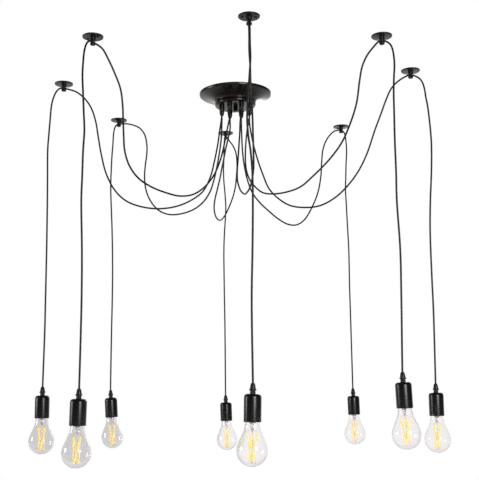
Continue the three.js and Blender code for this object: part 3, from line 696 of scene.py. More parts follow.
def with_bump(tree, shader, height, distance, strength=1.0):
    """Feeds a height to the shader's normal."""
    bump = tree.nodes.new("ShaderNodeBump")
    bump.inputs["Distance"].default_value = distance
    bump.inputs["Strength"].default_value = strength
    tree.links.new(height, bump.inputs["Height"])
    tree.links.new(bump.outputs[0], shader.inputs["Normal"])


def satin_finish(
        name, colour, roughness, change=0.2, broad=40.0, spread=0.1, fine=900.0, relief=2e-5, **constants):
    """A coated, plated or moulded finish: one satin grain group with its own values, over constants."""
    found = bpy.data.materials.get(name)
    if found:
        return found
    material, tree, shader = plain_finish(name, **constants)
    node = placed_group(
        tree, satin_group(), colour, Change=change, Broad_Scale=broad, Roughness=roughness, Spread=spread,
        Fine_Scale=fine)
    tree.links.new(node.outputs["Colour"], shader.inputs["Base Color"])
    tree.links.new(node.outputs["Roughness"], shader.inputs["Roughness"])
    with_bump(tree, shader, node.outputs["Height"], relief)
    return material


def cord_finish(colour):
    """A tight dark braid with a soft sheen."""
    material, tree, shader = plain_finish("Cord braid", Roughness=0.45, Specular_IOR_Level=0.4)
    node = placed_group(tree, braid_group(), colour)
    tree.links.new(node.outputs["Colour"], shader.inputs["Base Color"])
    with_bump(tree, shader, node.outputs["Height"], distance=0.00001, strength=0.25)
    return material


def glass_finish(colour):
    """Clear thin glass, with painted shade that makes its colour a little greyer where it is seen edge on.
    Light that only casts shadow passes it.
    """
    material, tree, shader = plain_finish(
        "Bulb glass", Roughness=0.04, IOR=1.45, Transmission_Weight=1.0, Metallic=0.0)
    facing = tree.nodes.new("ShaderNodeLayerWeight")
    facing.inputs["Blend"].default_value = 0.35
    cloud = calc(tree, "MULTIPLY_ADD", noise_in(tree, coordinates(tree, "Object"), 18.0), 0.02, 0.99)
    # Painted shade: the glass's colour is up to 3 per cent darker where it is seen edge on
    edge = calc(tree, "MULTIPLY_ADD", facing.outputs["Facing"], -0.03, cloud)
    tree.links.new(shaded(tree, fixed_colour(tree, colour), edge), shader.inputs["Base Color"])
    clear = tree.nodes.new("ShaderNodeBsdfTransparent")
    clear.inputs["Color"].default_value = (0.93, 0.93, 0.93, 1)
    mix = tree.nodes.new("ShaderNodeMixShader")
    tree.links.new(tree.nodes.new("ShaderNodeLightPath").outputs["Is Shadow Ray"], mix.inputs["Fac"])
    tree.links.new(shader.outputs[0], mix.inputs[1])
    tree.links.new(clear.outputs[0], mix.inputs[2])
    tree.links.new(mix.outputs[0], tree.nodes["Material Output"].inputs["Surface"])
    return material


# Cords


def grip_place(step):
    """The plan place of one arm's canopy grip. The eight stand on a ring, 45 degrees apart, the first half a
    step past the near side."""
    turn = -math.pi / 2 + math.pi / 8 + step * math.pi / 4
    return GRIP_RING_RADIUS * np.array([math.cos(turn), math.sin(turn)])


def control_points(arm, step):
    """The points that one cord goes through, from inside its canopy grip to inside its lampholder's grip."""
    grip = grip_place(step)
    hook, hang = np.array(arm.hook), np.array(arm.hang)
    inward = (grip - hook) / np.linalg.norm(grip - hook)
    outward = (hang - hook) / np.linalg.norm(hang - hook)
    run, height, side = np.array(arm.feed).T
    incoming = run < 0
    sideways = np.array([inward[1], -inward[0]])
    plan = hook - run[:, None] * inward + side[:, None] * sideways
    plan = np.where(incoming[:, None], plan, hook + run[:, None] * outward)
    way = np.column_stack([plan, height])
    reach = np.array([-CLAMP_REACH, 0, CLAMP_REACH])
    arch = -CLAMP_HEIGHT - ARCH_DROP * np.array([1, 0, 1])
    clamp = np.column_stack([hook + reach[:, None] * outward, arch])
    tip = -GRIP_TIP_DEPTH - TIP_GAP
    start = [[*grip, tip + TUCK], [*grip, tip], [*grip, tip - EXIT_STRAIGHT]]
    x, z = np.array(arm.drop).T
    lamp_x, lamp_z = arm.lamp
    drop = np.column_stack([lamp_x + x, np.full(len(x), hang[1]), z])
    lean = math.radians(arm.lean)
    end = [[lamp_x - r * math.sin(lean), hang[1], lamp_z + r * math.cos(lean)] for r in (TIP_GAP, -TUCK)]
    return np.vstack([start, way[incoming], clamp, way[~incoming], [[*hang, -HANG_DEPTH]], drop, end])


class PENDANT_OT_cords(bpy.types.Operator):
    """Make the eight cords, each one length from its canopy grip over its hook to its lampholder"""

    bl_idname = "pendant_light.cords"
    bl_label = "Cords"

    def execute(self, context):
        """Carries a circle along each cord's path."""
        settings = context.scene.pendant_light.cords
        finish = cord_finish(settings.colour)
        # An outward direction, falling by a tenth, is worked out with two lengths, but nothing uses them
        fall, fixed, loose = 0.1, 0.013, 0.004
        for step, arm in enumerate(ARMS):
            path = smooth_path(control_points(arm, step), STEPS_PER_POINT)
            hang = np.array([*arm.hang, -HANG_DEPTH])
            inward = path[0, :2] - arm.hook
            skin = tube(path, settings.diameter / 2, settings.sides, np.array([inward[1], -inward[0], 0.0]))
            made = piece(
                f"cord_{arm.name}", skin, finish,
                replaces=(f"feed_cord_{arm.name}", f"drop_cord_{arm.name}"))
            outward = np.array([*(hang[:2] / np.linalg.norm(hang[:2])), -fall])
            outward /= outward @ outward
            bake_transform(made)
        return {"FINISHED"}


# Canopy


def cover_profile(settings):
    """The cover's closed outline: along the boss's face, up its wall, out along the flared dish to the rim,
    and back inside at the sheet's thickness, round the collar that stands on the ceiling."""
    rim, wall, hole, boss, collar = settings.radius, settings.wall, 0.0036, 0.054, 0.075
    step, flare, lip, edge = -0.027, -0.013, -0.0059, -0.0034
    outside = softened(
        [(hole, -BOSS_DEPTH), (boss, -BOSS_DEPTH), (boss, step), (0.0555, -0.024), (0.0585, -0.0205),
         (0.064, -0.0172), (collar, flare), (rim - 0.0026, -0.0094), (rim - 0.001, -0.0089),
         (rim, lip), (rim, edge), (rim - wall, edge)],
        [0.0065, 0.0008, 0.01, 0.01, 0.01, 0.01, 0.0006, 0.0006, 0.0006, 0.0004], 7)
    inside = softened(
        [(rim - wall, edge - 0.0003), (rim - wall, wall - 0.0075), (collar, wall + flare), (collar, 0),
         (collar - wall, 0), (collar - wall, wall + flare), (0.0629, -0.0158), (0.0574, -0.0191),
         (0.0544, -0.0226), (boss - wall, step), (boss - wall, -0.0345), (0.05, wall - BOSS_DEPTH),
         (hole, wall - BOSS_DEPTH)],
        [0.0008, 0.001, 0.0003, 0.0003, 0.0006, 0.01, 0.01, 0.01, 0.01, 0.003, 0.003], 5)
    return np.vstack([outside, inside])


class PENDANT_OT_canopy_cover(bpy.types.Operator):
    """Make the canopy's cover, a dish with a boss in its middle"""

    bl_idname = "pendant_light.canopy_cover"
    bl_label = "Canopy cover"

    def execute(self, context):
        """Turns the cover's outline about Z."""
        settings = context.scene.pendant_light.canopy
        finish = satin_finish(
            "Dark canopy paint", settings.colour, 0.2, broad=25.0, spread=0.03, fine=700.0, relief=2e-6,
            Specular_IOR_Level=0.5, Specular_Tint=(1.0, 0.86, 0.8, 1))
        skin = turned(cover_profile(settings), 128, ring=True)
        piece("canopy_shell", skin, finish, "ceiling_side", ("canopy_cover",))
        return {"FINISHED"}


class PENDANT_OT_canopy_grips(bpy.types.Operator):
    """Make the eight cord grips under the canopy's boss"""

    bl_idname = "pendant_light.canopy_grips"
    bl_label = "Canopy cord grips"

    def execute(self, context):
        """Turns a grip's outline, a flange, a bullet and a dimple for the cord, and sets it in the ring."""
        settings = context.scene.pendant_light.canopy
        finish = satin_finish(
            "Moulded grip", settings.grip_colour, 0.32, change=0.15, spread=0.04, relief=4e-6,
            Specular_IOR_Level=0.3)
        foot, flange, dimple = BOSS_DEPTH - GRIP_TIP_DEPTH, 0.003, -0.003
        skin = turned(softened(
            [(0, foot), (0.0072, foot), (0.0072, foot + flange), (0.0067, foot + flange), (0.0064, -0.009),
             (0.0052, -0.0024), (0.0039, 0), (CORD_HOLE, 0), (CORD_HOLE, dimple), (0, dimple)],
            [0.0002, 0.0006, 0.0003, 0.003, 0.004, 0.0012, 0.0003, 0.0002], 6), 48)
        upended = np.diag([1, -1, -1])
        for step, arm in enumerate(ARMS):
            made = moved(skin, upended, (*grip_place(step), -GRIP_TIP_DEPTH))
            piece(f"canopy_grip_{arm.name}", made, finish, "ceiling_side")
        return {"FINISHED"}


class PENDANT_OT_canopy_nut(bpy.types.Operator):
    """Make the knurled nut that holds the cover up"""

    bl_idname = "pendant_light.canopy_nut"
    bl_label = "Canopy nut"

    def execute(self, context):
        """Turns the nut's outline with its bore, and knurls its side by a cosine of the angle."""
        settings = context.scene.pendant_light.canopy
        finish = satin_finish("Moulded nut", settings.grip_colour, 0.32, relief=1e-5)
        radius, top, bore, bore_end = 0.006, -0.0388, 0.0034, -0.0443
        profile = softened(
            [(0, -0.0518), (0.0042, -0.0517), (radius, -0.0498), (radius, top), (bore, top),
             (bore, bore_end), (0, bore_end)],
            [0.0016, 0.0014, 0.0004, 0.0003, 0.0002], 5)
        teeth, depth = 24, 0.0003

        def knurl(a, r, z):
            """The radius is less by d (1 - cos(n a)) / 2 for n teeth, which fade out at both ends."""
            share = smoothed((z + 0.0503) / 0.001) * smoothed((-0.0395 - z) / 0.0008) * (r > 0.005)
            return -depth * (0.5 - 0.5 * np.cos(teeth * a)) * share

        skin = turned(profile, 144, knurl)
        piece("canopy_knurled_nut", skin, finish, "cover_nut", ("canopy_nut",))
        return {"FINISHED"}


def screw_skin(head_radius, head_height, shank_radius, shank_length, recess):
    """A screw that hangs down from the origin, its head below: the head is a low dome, and a cross in it is
    sunk by a smooth step of the smaller of |x| and |y|."""
    a = np.linspace(0, 1, 15) * np.pi / 2
    dome = np.column_stack([head_radius * np.sin(a), -head_height * (0.25 + 0.75 * np.cos(a))])
    upper = [(head_radius, 0), (shank_radius, 0), (shank_radius, shank_length), (0, shank_length)]
    skin = turned(np.vstack([dome, upper]), 48)
    x, y, z = skin.points.T
    across, reach = np.minimum(abs(x), abs(y)), np.maximum(abs(x), abs(y))
    sunk = smoothed((0.16 * head_radius - across) / (0.08 * head_radius) + 0.5)
    sunk = sunk * smoothed((0.6 * head_radius - reach) / (0.15 * head_radius)) * (z < -0.2 * head_height)
    return skin._replace(points=np.column_stack([x, y, z + recess * sunk]))


class PENDANT_OT_ceiling_bracket(bpy.types.Operator):
    """Finish the bracket and the terminal block inside the cover, and make their screws"""

    bl_idname = "pendant_light.ceiling_bracket"
    bl_label = "Ceiling bracket and terminal block"

    def execute(self, context):
        """Dresses the two CAD nodes, and sets two screws in the bracket and six in the block."""
        settings = context.scene.pendant_light.canopy
        steel = satin_finish(
            "Plated steel", settings.steel_colour, 0.32, change=0.15, broad=90.0, spread=0.12, relief=1e-5,
            Metallic=1.0)
        moulding = satin_finish("Terminal moulding", (0.72, 0.72, 0.69), 0.5, change=0.08, relief=1e-5)
        dress("ceiling_bracket", steel)
        dress("terminal_block", moulding)
        half_span, plate = 0.041, -0.002
        screw = screw_skin(0.0042, 0.0022, 0.0022, 0.002, 0.0009)
        for side, name in ((-1, "left"), (1, "right")):
            skin = moved(screw, place=(side * half_span, 0, plate))
            piece(f"bracket_screw_{name}", skin, steel, "ceiling_side")
        columns, rows, block = (-0.02, 0, 0.02), (0.0215, 0.0325), -0.0183
        clamp = screw_skin(0.0022, 0.0006, 0.0016, 0.003, 0.0004)
        skins = [moved(clamp, place=(x, y, block)) for x in columns for y in rows]
        piece("terminal_screws", together(*skins), steel, "ceiling_side")
        return {"FINISHED"}


# Hooks


def hook_frame(arm):
    """The turn and the place of one hook, whose slot lies along its own X."""
    outward = np.array(arm.hang) - np.array(arm.hook)
    return about_z(math.atan2(outward[1], outward[0])), (*arm.hook, 0)


def prong_skin():
    """One threaded half of the slotted stud. At height z its radius is r = R - 2d |z/p - round(z/p)|, less a
    chamfer at the foot, and its outline is the arc of r where y is past the slot's half width, closed by the
    straight slot wall."""
    low, high, half_slot, outer = -PRONG_DEPTH, -POST_DEPTH + 0.0004, 0.0024, 0.0045
    pitch, double_depth, chamfer, chamfer_height = 0.0011, 0.0006, 0.0005, 0.0008
    z = np.linspace(low, high, 40)
    threads = z / pitch
    radius = outer - double_depth * np.abs(threads - np.round(threads))
    radius -= chamfer * smoothed((low + chamfer_height - z) / chamfer_height)
    start = np.arcsin(half_slot / radius)[:, None]
    a = start + np.linspace(0, 1, 22)[None, :] * (np.pi - 2 * start)
    arc = np.stack([radius[:, None] * np.cos(a), radius[:, None] * np.sin(a)], axis=-1)
    back = np.linspace(arc[:, -1], arc[:, 0], 8, axis=1)[:, 1:-1]
    outline = np.concatenate([arc, back], axis=1)
    poles = np.broadcast_to(outline.mean(axis=1, keepdims=True), outline.shape)
    rows = np.concatenate([poles[:1], outline, poles[-1:]])
    heights = np.concatenate([z[:1], z, z[-1:]])
    return wrapped(np.concatenate(
        [rows, np.broadcast_to(heights[:, None, None], (*rows.shape[:2], 1))], axis=-1))


class PENDANT_OT_hooks(bpy.types.Operator):
    """Make the eight ceiling hooks, each a disc with a post and a slotted, threaded stud"""

    bl_idname = "pendant_light.hooks"
    bl_label = "Ceiling hooks"

    def execute(self, context):
        """Turns the disc and post, and adds the two halves of the stud."""
        settings = context.scene.pendant_light.hooks
        finish = satin_finish(
            "Dark hook paint", settings.colour, 0.3, change=0.25, broad=60.0, spread=0.06, relief=4e-6,
            Specular_IOR_Level=0.4)
        radius, post = settings.disc_radius, 0.0065
        profile = softened(
            [(0, -POST_DEPTH), (post, -POST_DEPTH), (post, -DISC_DEPTH), (radius - 0.0008, -DISC_DEPTH),
             (radius, -0.0018), (radius, 0), (0, 0)],
            [0.0005, 0.0009, 0.0009, 0.0007, 0.0002], 6)
        prong = prong_skin()
        skin = together(turned(profile, 96), prong, moved(prong, about_z(math.pi)))
        piece_per_arm("hook_disc_{}", skin, hook_frame, finish, "ceiling_side", "hook_{}")
        return {"FINISHED"}


class PENDANT_OT_hook_caps(bpy.types.Operator):
    """Make the round-ended nuts that clamp the cords in their slots"""

    bl_idname = "pendant_light.hook_caps"
    bl_label = "Hook caps"

    def execute(self, context):
        """Turns a cup whose foot is a quarter circle round a flat middle."""
        settings = context.scene.pendant_light.hooks
        finish = satin_finish(
            "Dark cap paint", settings.colour, 0.26, broad=80.0, relief=4e-6, Specular_IOR_Level=0.4)
        flat, bend, middle = 0.0034, 0.0028, -0.0177
        top, bevel, bore, floor = -0.0152, 0.0002, 0.0049, -0.0182
        a = np.linspace(0, 1, 14) * np.pi / 2
        foot = np.column_stack([flat * (a > 0) + bend * np.sin(a), middle - bend * np.cos(a)])
        upper = [
            (flat + bend, top - bevel), (flat + bend - bevel, top), (bore + bevel, top), (bore, top - bevel),
            (bore, floor), (0, floor)]
        skin = turned(np.vstack([foot, upper]), 64)
        piece_per_arm("hook_ball_cap_{}", skin, hook_frame, finish, "clamp_{}", "hook_cap_{}")
        return {"FINISHED"}


class PENDANT_OT_hook_screws(bpy.types.Operator):
    """Make the sixteen screws that hold the hooks up"""

    bl_idname = "pendant_light.hook_screws"
    bl_label = "Hook screws"

    def execute(self, context):
        """Sets two screws under each disc, across its slot."""
        settings = context.scene.pendant_light.hooks
        finish = satin_finish(
            "Brassy screw", settings.screw_colour, 0.36, change=0.3, broad=300.0, Metallic=1.0)
        half_span, slant = 0.0135, 0.5
        screw = screw_skin(0.0033, 0.0017, 0.0018, 0.002, 0.0008)
        for arm in ARMS:
            for side, name in ((-1, "a"), (1, "b")):
                seated = moved(screw, about_z(slant * side), (0, side * half_span, -DISC_DEPTH))
                skin = moved(seated, *hook_frame(arm))
                piece(f"hook_screw_{arm.name}_{name}", skin, finish, "ceiling_side")
        return {"FINISHED"}


# Lampholders


def lamp_frame(arm):
    """The turn and the place of one lamp, whose origin is the middle of its grip's tip."""
    lamp_x, lamp_z = arm.lamp
    return about_y(-math.radians(arm.lean)), (lamp_x, arm.hang[1], lamp_z)


class PENDANT_OT_lampholders(bpy.types.Operator):
    """Make the eight lampholders, each a plain cylinder with a rounded shoulder"""

    bl_idname = "pendant_light.lampholders"
    bl_label = "Lampholders"

    def execute(self, context):
        """Turns the holder's outline with its bore."""
        settings = context.scene.pendant_light.holders
        finish = satin_finish(
            "Lampholder black", settings.colour, 0.27, change=0.1, broad=50.0, spread=0.02, fine=1500.0,
            relief=5e-7, Specular_IOR_Level=0.5)
        radius, bore, bore_end = settings.radius, 0.0137, -0.027
        profile = softened(
            [(0, bore_end), (bore, bore_end), (bore, HOLDER_RIM), (radius, HOLDER_RIM), (radius, HOLDER_TOP),
             (0, HOLDER_TOP)],
            [0.0006, 0.0004, 0.0006, settings.shoulder * 1.6], 9)
        piece_per_arm(
            "lampholder_shell_{}", turned(profile, 96), lamp_frame, finish, "pendant_{}",
            "lampholder_{}")
        return {"FINISHED"}


class PENDANT_OT_lamp_grips(bpy.types.Operator):
    """Make the ribbed cord grips on top of the lampholders"""

    bl_idname = "pendant_light.lamp_grips"
    bl_label = "Lampholder cord grips"

    def execute(self, context):
        """Joins a ribbed neck, a flange and a cone into one outline and turns it."""
        settings = context.scene.pendant_light.canopy
        finish = satin_finish("Moulded lamp grip", settings.grip_colour, 0.38, change=0.15, relief=4e-6)
        foot, flange_foot, flange_top, flange, dimple = -0.0205, -0.0141, -0.0111, 0.0071, -0.003
        profile = softened(
            [(0, foot), (0.0056, foot), (0.0052, flange_foot), (flange, flange_foot), (flange, flange_top),
             (0.0057, flange_top), (0.0056, -0.0088), (0.005, -0.005), (0.0036, 0), (CORD_HOLE, 0),
             (CORD_HOLE, dimple), (0, dimple)],
            [0.0003, 0.0003, 0.0006, 0.0006, 0.0003, 0.0012, 0.0018, 0.0006, 0.0002, 0.0002], 5)
        ribs, depth = 18, 0.0005

        def ridge(a, r, z):
            """The radius is less by d (1 - cos(n a)) / 2 for n ribs, which end just below the flange."""
            share = smoothed((flange_foot - 0.0001 - z) / 0.0005) * (r > 0.004)
            return -depth * (0.5 - 0.5 * np.cos(ribs * a)) * share

        skin = turned(profile, 108, ridge)
        piece_per_arm("lamp_grip_{}", skin, lamp_frame, finish, "pendant_{}")
        return {"FINISHED"}


# Bulbs


def glass_outline(settings, inset):
    """One wall of the glass, from its bottom up. Below the widest place it is a circle. Above, with t the
    share of the way up to the rim, the radius is n + (R - n) S((1 - t)^1.12), S the smooth step. Then the
    neck steps in and goes up inside the lampholder."""
    radius, neck, seat = settings.radius - inset, 0.0144 - inset, 0.013 - inset
    middle = HOLDER_RIM - settings.drop + settings.radius
    top = HOLDER_RIM - 0.0003
    a = np.linspace(-np.pi / 2, 0, 33)
    belly = np.column_stack([radius * np.cos(a), middle + radius * np.sin(a)])
    belly[0, 0] = 0
    t = np.linspace(0, 1, 41)[1:]
    flare = np.column_stack([neck + (radius - neck) * smoothed((1 - t) ** 1.12), middle + (top - middle) * t])
    flare[-1, 1] -= inset
    return np.vstack([belly, flare, [(seat, top - inset), (seat, HOLDER_RIM + 0.003)]])


class PENDANT_OT_bulb_glass(bpy.types.Operator):
    """Make the eight clear bulb glasses"""

    bl_idname = "pendant_light.bulb_glass"
    bl_label = "Bulb glass"

    def execute(self, context):
        """Turns the outer and the inner wall as one closed outline."""
        settings = context.scene.pendant_light.bulbs
        finish = glass_finish(settings.glass_colour)
        outline = np.vstack([glass_outline(settings, 0), glass_outline(settings, settings.wall)[::-1]])
        piece_per_arm(
            "bulb_envelope_{}", turned(outline, 128), lamp_frame, finish, "bulb_{}",
            "bulb_glass_{}", sharp=50)
        return {"FINISHED"}


def cap_skin():
    """The screw cap. On its threaded part the radius is r + d cos(2 pi z/p - a), a helix of pitch p."""
    low, high = HOLDER_RIM + 0.0033, HOLDER_RIM + 0.0303
    radius, depth, pitch = 0.0123, 0.0007, 0.0036
    z = np.linspace(low, high - 0.0055, 60)
    side = np.column_stack([np.full(len(z), radius), z])
    top = [(0.011, high - 0.0045), (0.0068, high - 0.002), (0.0055, high - 0.0018), (0.0045, high - 0.0001),
           (0, high)]

    def thread(a, r, z):
        """The radius is more by d cos(2 pi z/p - a), which fades out at both ends of the threaded part."""
        share = smoothed((z - low - 0.003) / 0.002) * smoothed((high - 0.006 - z) / 0.002) * (r > 0.012)
        return depth * np.cos(2 * np.pi * z / pitch - a) * share

    return turned(np.vstack([[(0, low)], side, top]), 48, thread)


def strip_ends():
    """The upper and the lower ends of the four filament strips, which lean round the rod."""
    ring, foot_ring, top, foot, lean = 0.01, 0.007, HOLDER_RIM - 0.021, HOLDER_RIM - 0.075, math.radians(85)
    a = np.arange(4) * np.pi / 2
    b = a - lean
    upper = np.column_stack([ring * np.cos(a), ring * np.sin(a), np.full(4, top)])
    lower = np.column_stack([foot_ring * np.cos(b), foot_ring * np.sin(b), np.full(4, foot)])
    return upper, lower


def strip_skin(upper, lower):
    """One filament strip: a flat oval carried from its upper to its lower end. At share t of the way the
    point at angle a is the line's point + W(t) C across + H(t) S outward, where C and S are the cosine and
    the sine of a to the power 0.6 with their signs kept, and W and H are rounded at the ends."""
    half_width, half_height, squareness = 0.0013, 0.0007, 0.6
    t = np.concatenate([[0], np.linspace(0, 1, 40), [1]])
    close = np.minimum(smoothed(t / 0.02), smoothed((1 - t) / 0.02))
    close[[0, -1]] = 0
    axis = (lower - upper) / np.linalg.norm(lower - upper)
    out = (upper + lower) * [1, 1, 0]
    out -= (out @ axis) * axis
    out /= np.linalg.norm(out)
    across = np.cross(out, axis)
    a = np.linspace(0, 2 * np.pi, 16, endpoint=False)
    c, s = (np.sign(v) * np.abs(v) ** squareness for v in (np.cos(a), np.sin(a)))
    centre = upper + t[:, None] * (lower - upper)
    oval = half_width * c[:, None] * across + half_height * s[:, None] * out
    return wrapped(centre[:, None] + close[:, None, None] * oval)


def wire_skin(points, radius):
    """A thin wire along a smooth curve through a few points."""
    path = smooth_path(points, 5)
    lie = path[-1] - path[0]
    sideways = np.cross(lie, [0, 0, 1.0])
    upright = np.linalg.norm(sideways) < 0.2 * np.linalg.norm(lie)
    return tube(path, radius, 8, np.array([1.0, 0, 0]) if upright else sideways)


def wires_skin(upper, lower, stem_top, stem_end, foot):
    """All the wires of one bulb: to each strip's upper end from the rod, to each lower end from the rod's
    foot, and two leads down the stem. The ends of a strip's wires run along the strip for a little way."""
    wires = []
    for top, bottom in zip(upper, lower):
        axis = (bottom - top) / np.linalg.norm(bottom - top)
        wires.append(wire_skin(
            [(0, 0, top[2] + 0.0085), top * [0.4, 0.4, 1] + [0, 0, 0.0062], top - 0.0026 * axis,
             top + 0.0004 * axis], 0.00022))
        wires.append(wire_skin(
            [(0, 0, foot + 0.0012), bottom * [0.5, 0.5, 1] - [0, 0, 0.0012], bottom + 0.0016 * axis,
             bottom - 0.0004 * axis], 0.00025))
    for side in (-1, 1):
        wires.append(wire_skin(
            [(side * 0.0025, 0, stem_top - 0.002), (side * 0.0028, 0, stem_end + 0.005),
             (side * 0.0016, 0, HOLDER_RIM - 0.018)], 0.0004))
    return together(*wires)


class PENDANT_OT_bulb_insides(bpy.types.Operator):
    """Make what is inside the bulbs: cap, stem, filament strips and wires"""

    bl_idname = "pendant_light.bulb_insides"
    bl_label = "Bulb insides"

    def execute(self, context):
        """Turns the cap and the stem, carries ovals along the strips and circles along the wires."""
        settings = context.scene.pendant_light.bulbs
        nickel = satin_finish("Cap nickel", (0.62, 0.6, 0.57), 0.28, change=0.1, Metallic=1.0)
        stem_glass = satin_finish(
            "Stem glass", (0.86, 0.85, 0.84), 0.08, change=0.04, spread=0.02, IOR=1.45,
            Transmission_Weight=0.85)
        # The strips' coating is given a faint glow in its own colour, a painted glow: the bulbs are not lit
        strip_finish_with_painted_glow = satin_finish(
            "Filament coating", settings.strip_colour, 0.6, change=0.05, broad=350.0, spread=0.05,
            relief=4e-6, Emission_Color=(*settings.strip_colour, 1), Emission_Strength=0.48)
        metal = satin_finish("Lead wire", (0.5, 0.42, 0.4), 0.4, broad=300.0, Metallic=1.0)
        upper, lower = strip_ends()
        stem_top, stem_end, foot = HOLDER_RIM + 0.0028, HOLDER_RIM - 0.015, HOLDER_RIM - 0.0752
        rod, flare = 0.0011, 0.011
        stem = turned(softened(
            [(0, foot), (rod, foot), (rod, stem_end), (0.0045, stem_end + 0.006), (0.005, stem_top - 0.004),
             (flare, stem_top), (0, stem_top)], [0.0005, 0.002, 0.002, 0.004, 0.0003], 6), 40)
        strips = together(*(strip_skin(*ends) for ends in zip(upper, lower)))
        wires = wires_skin(upper, lower, stem_top, stem_end, foot)
        pieces = (
            ("bulb_screw_cap", cap_skin(), nickel), ("bulb_stem", stem, stem_glass),
            ("bulb_filaments", strips, strip_finish_with_painted_glow), ("bulb_wires", wires, metal),
        )
        for arm in ARMS:
            for name, skin, finish in pieces:
                made = moved(moved(skin, about_z(math.radians(arm.turn))), *lamp_frame(arm))
                nodes = (f"bulb_core_{arm.name}",) if skin is strips else ()
                piece(f"{name}_{arm.name}", made, finish, f"bulb_{arm.name}", nodes)
        return {"FINISHED"}


# Stage


def ray_kinds(tree):
    """Three switches: for a ray from the camera, for a sight through glass and for a reflection."""
    path = tree.nodes.new("ShaderNodeLightPath")
    through = path.outputs["Is Transmission Ray"]
    mirrored = calc(tree, "MAXIMUM", calc(tree, "SUBTRACT", path.outputs["Is Glossy Ray"], through), 0)
    return path.outputs["Is Camera Ray"], through, mirrored


def floor_finish(colour, reach):
    """A pale floor that shows white, and the object's shadow on it, by some light of its own, which grows a
    little far out. Seen through glass it is dimmer on the left. In reflections it is dark, with no light of
    its own below the canopy and more and more far out."""
    material, tree, shader = plain_finish("Pale floor", Roughness=0.9, Specular_IOR_Level=0.1)
    place = coordinates(tree, "Object")
    straight, through, mirrored = ray_kinds(tree)
    speckle = calc(tree, "MULTIPLY_ADD", noise_in(tree, place, 6.0), 0.02, 0.99)
    level = calc(tree, "MULTIPLY_ADD", mirrored, -0.78, speckle)
    tree.links.new(shaded(tree, fixed_colour(tree, colour), level), shader.inputs["Base Color"])
    x = parts_of(tree, place)[0]
    through = calc(tree, "MULTIPLY", through, ramp(tree, x, -0.5, -0.1, 0.68, 1))
    seen = calc(tree, "MAXIMUM", straight, through)
    far = tree.nodes.new("ShaderNodeVectorMath")
    far.operation = "LENGTH"
    tree.links.new(place, far.inputs[0])
    far = far.outputs["Value"]
    glow = calc(tree, "MULTIPLY", ramp(tree, far, 1.5, reach, 0.42, 0.6), seen)
    glow = calc(tree, "MULTIPLY_ADD", ramp(tree, far, 1.8, 4.6, 0, 0.75), mirrored, glow)
    tree.links.new(glow, shader.inputs["Emission Color"])
    shader.inputs["Emission Strength"].default_value = 1.0
    return material


def floor_skin(reach, height):
    """A disc that faces up: at share s of the way out and angle a the point is (s R cos a, s R sin a, h)."""
    r = reach * np.linspace(1, 0, 9)[:, None]
    a = np.linspace(0, 2 * np.pi, 64, endpoint=False)[None, :]
    skin = wrapped(np.stack([r * np.cos(a), r * np.sin(a), np.full((9, 64), height)], axis=-1))
    return skin._replace(faces=[face[::-1] for face in skin.faces])


def studio_world(ambient):
    """A white backdrop all round that lights evenly. In reflections only its far side is white, as in a
    studio whose near side is dark. Through glass it is greyer on the left."""
    world = bpy.data.worlds.new("Studio")
    world.use_nodes = True
    tree = world.node_tree
    soft = tree.nodes["Background"]
    soft.inputs["Color"].default_value = (1, 1, 1, 1)
    way = parts_of(tree, coordinates(tree, "Generated"))
    straight, through, mirrored = ray_kinds(tree)
    white, near_side, left_side = 1, 0.06, 0.67
    far = ramp(tree, way[1], 0.35, 0.95, near_side - ambient, white - ambient)
    left = ramp(tree, way[0], -0.13, -0.04, left_side - ambient, white - ambient)
    strength = calc(tree, "MULTIPLY_ADD", far, mirrored, ambient)
    strength = calc(tree, "MULTIPLY_ADD", left, through, strength)
    strength = calc(tree, "MULTIPLY_ADD", straight, white - ambient, strength)
    tree.links.new(strength, soft.inputs["Strength"])
    return world


def on_stage(name, data):
    """An object that only the stage needs."""
    made = bpy.data.objects.new(name, data)
    bpy.context.scene.collection.objects.link(made)
    return made


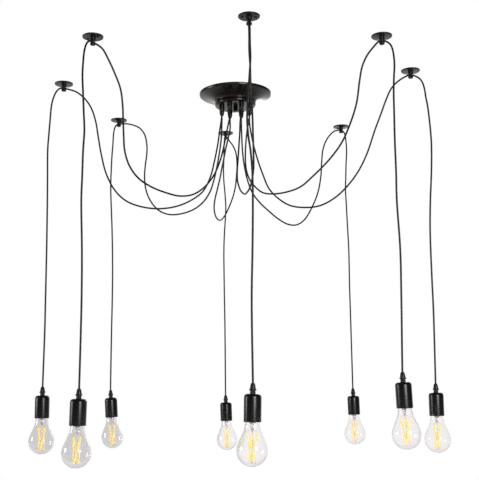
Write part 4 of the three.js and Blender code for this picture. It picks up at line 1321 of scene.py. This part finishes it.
class PENDANT_OT_stage(bpy.types.Operator):
    """Make the camera, the floor, the world and the soft lamps"""

    bl_idname = "pendant_light.stage"
    bl_label = "Camera, floor and light"

    def execute(self, context):
        """Sets the camera from its three directions, then the floor, the world and three soft lamps."""
        settings = context.scene.pendant_light.stage
        lens = bpy.data.cameras.new("Camera")
        lens.sensor_fit, lens.sensor_width, lens.lens = "HORIZONTAL", SENSOR_WIDTH, settings.focal
        lens.shift_x, lens.shift_y = (shift / IMAGE_WIDTH for shift in VIEW_SHIFT)
        lens.clip_end = 100
        camera = on_stage("Camera", lens)
        turn = Matrix(VIEW_AXES).transposed()
        camera.matrix_world = Matrix.Translation(VIEW_PLACE) @ turn.normalized().to_4x4()
        context.scene.camera = camera
        skin = floor_skin(settings.floor_reach, settings.floor_height)
        mesh = bpy.data.meshes.new("floor")
        mesh.from_pydata(skin.points.tolist(), [], skin.faces)
        mesh.materials.append(floor_finish(settings.floor_colour, settings.floor_reach))
        on_stage("floor", mesh)
        context.scene.world = studio_world(settings.ambient)
        for name, place, target, width, height, power, through_glass in LAMPS:
            light = bpy.data.lights.new(name, "AREA")
            light.shape, light.size, light.size_y, light.energy = "RECTANGLE", width, height, power
            lamp = on_stage(name, light)
            lamp.location = place
            lamp.rotation_euler = (Vector(target) - Vector(place)).to_track_quat("-Z", "Y").to_euler()
            lamp.visible_transmission = through_glass
        context.scene.view_settings.view_transform = "Standard"
        return {"FINISHED"}


STEPS = (
    PENDANT_OT_stage, PENDANT_OT_cords, PENDANT_OT_canopy_cover, PENDANT_OT_canopy_grips,
    PENDANT_OT_canopy_nut, PENDANT_OT_ceiling_bracket, PENDANT_OT_hooks, PENDANT_OT_hook_caps,
    PENDANT_OT_hook_screws, PENDANT_OT_lampholders, PENDANT_OT_lamp_grips, PENDANT_OT_bulb_glass,
    PENDANT_OT_bulb_insides,
)


class PENDANT_PT_light(bpy.types.Panel):
    """The light's settings and the steps that build it"""

    bl_idname = "PENDANT_PT_light"
    bl_label = "Multi-light pendant light"
    bl_space_type = "VIEW_3D"
    bl_region_type = "UI"
    bl_category = "Pendant light"

    def draw(self, context):
        """Lists the settings of each group of pieces, and then one button for each step."""
        settings = context.scene.pendant_light
        for name in ("cords", "canopy", "hooks", "holders", "bulbs", "stage"):
            box = self.layout.box()
            box.label(text=name.capitalize())
            group = getattr(settings, name)
            for label in group.bl_rna.properties.keys():
                if label not in ("rna_type", "name"):
                    box.prop(group, label)
        for step in STEPS:
            self.layout.operator(step.bl_idname)


CLASSES = (
    CordSettings, CanopySettings, HookSettings, HolderSettings, BulbSettings, StageSettings,
    PendantLightSettings, *STEPS, PENDANT_PT_light,
)


def register():
    """Registers the classes and puts the settings on the scene."""
    for made in CLASSES:
        bpy.utils.register_class(made)
    bpy.types.Scene.pendant_light = bpy.props.PointerProperty(type=PendantLightSettings)


def unregister():
    """Takes the settings off the scene and unregisters the classes."""
    del bpy.types.Scene.pendant_light
    for made in reversed(CLASSES):
        bpy.utils.unregister_class(made)


def main():
    register()
    for step in STEPS:
        group, name = step.bl_idname.split(".")
        getattr(getattr(bpy.ops, group), name)()


if __name__ == "__main__":
    main()
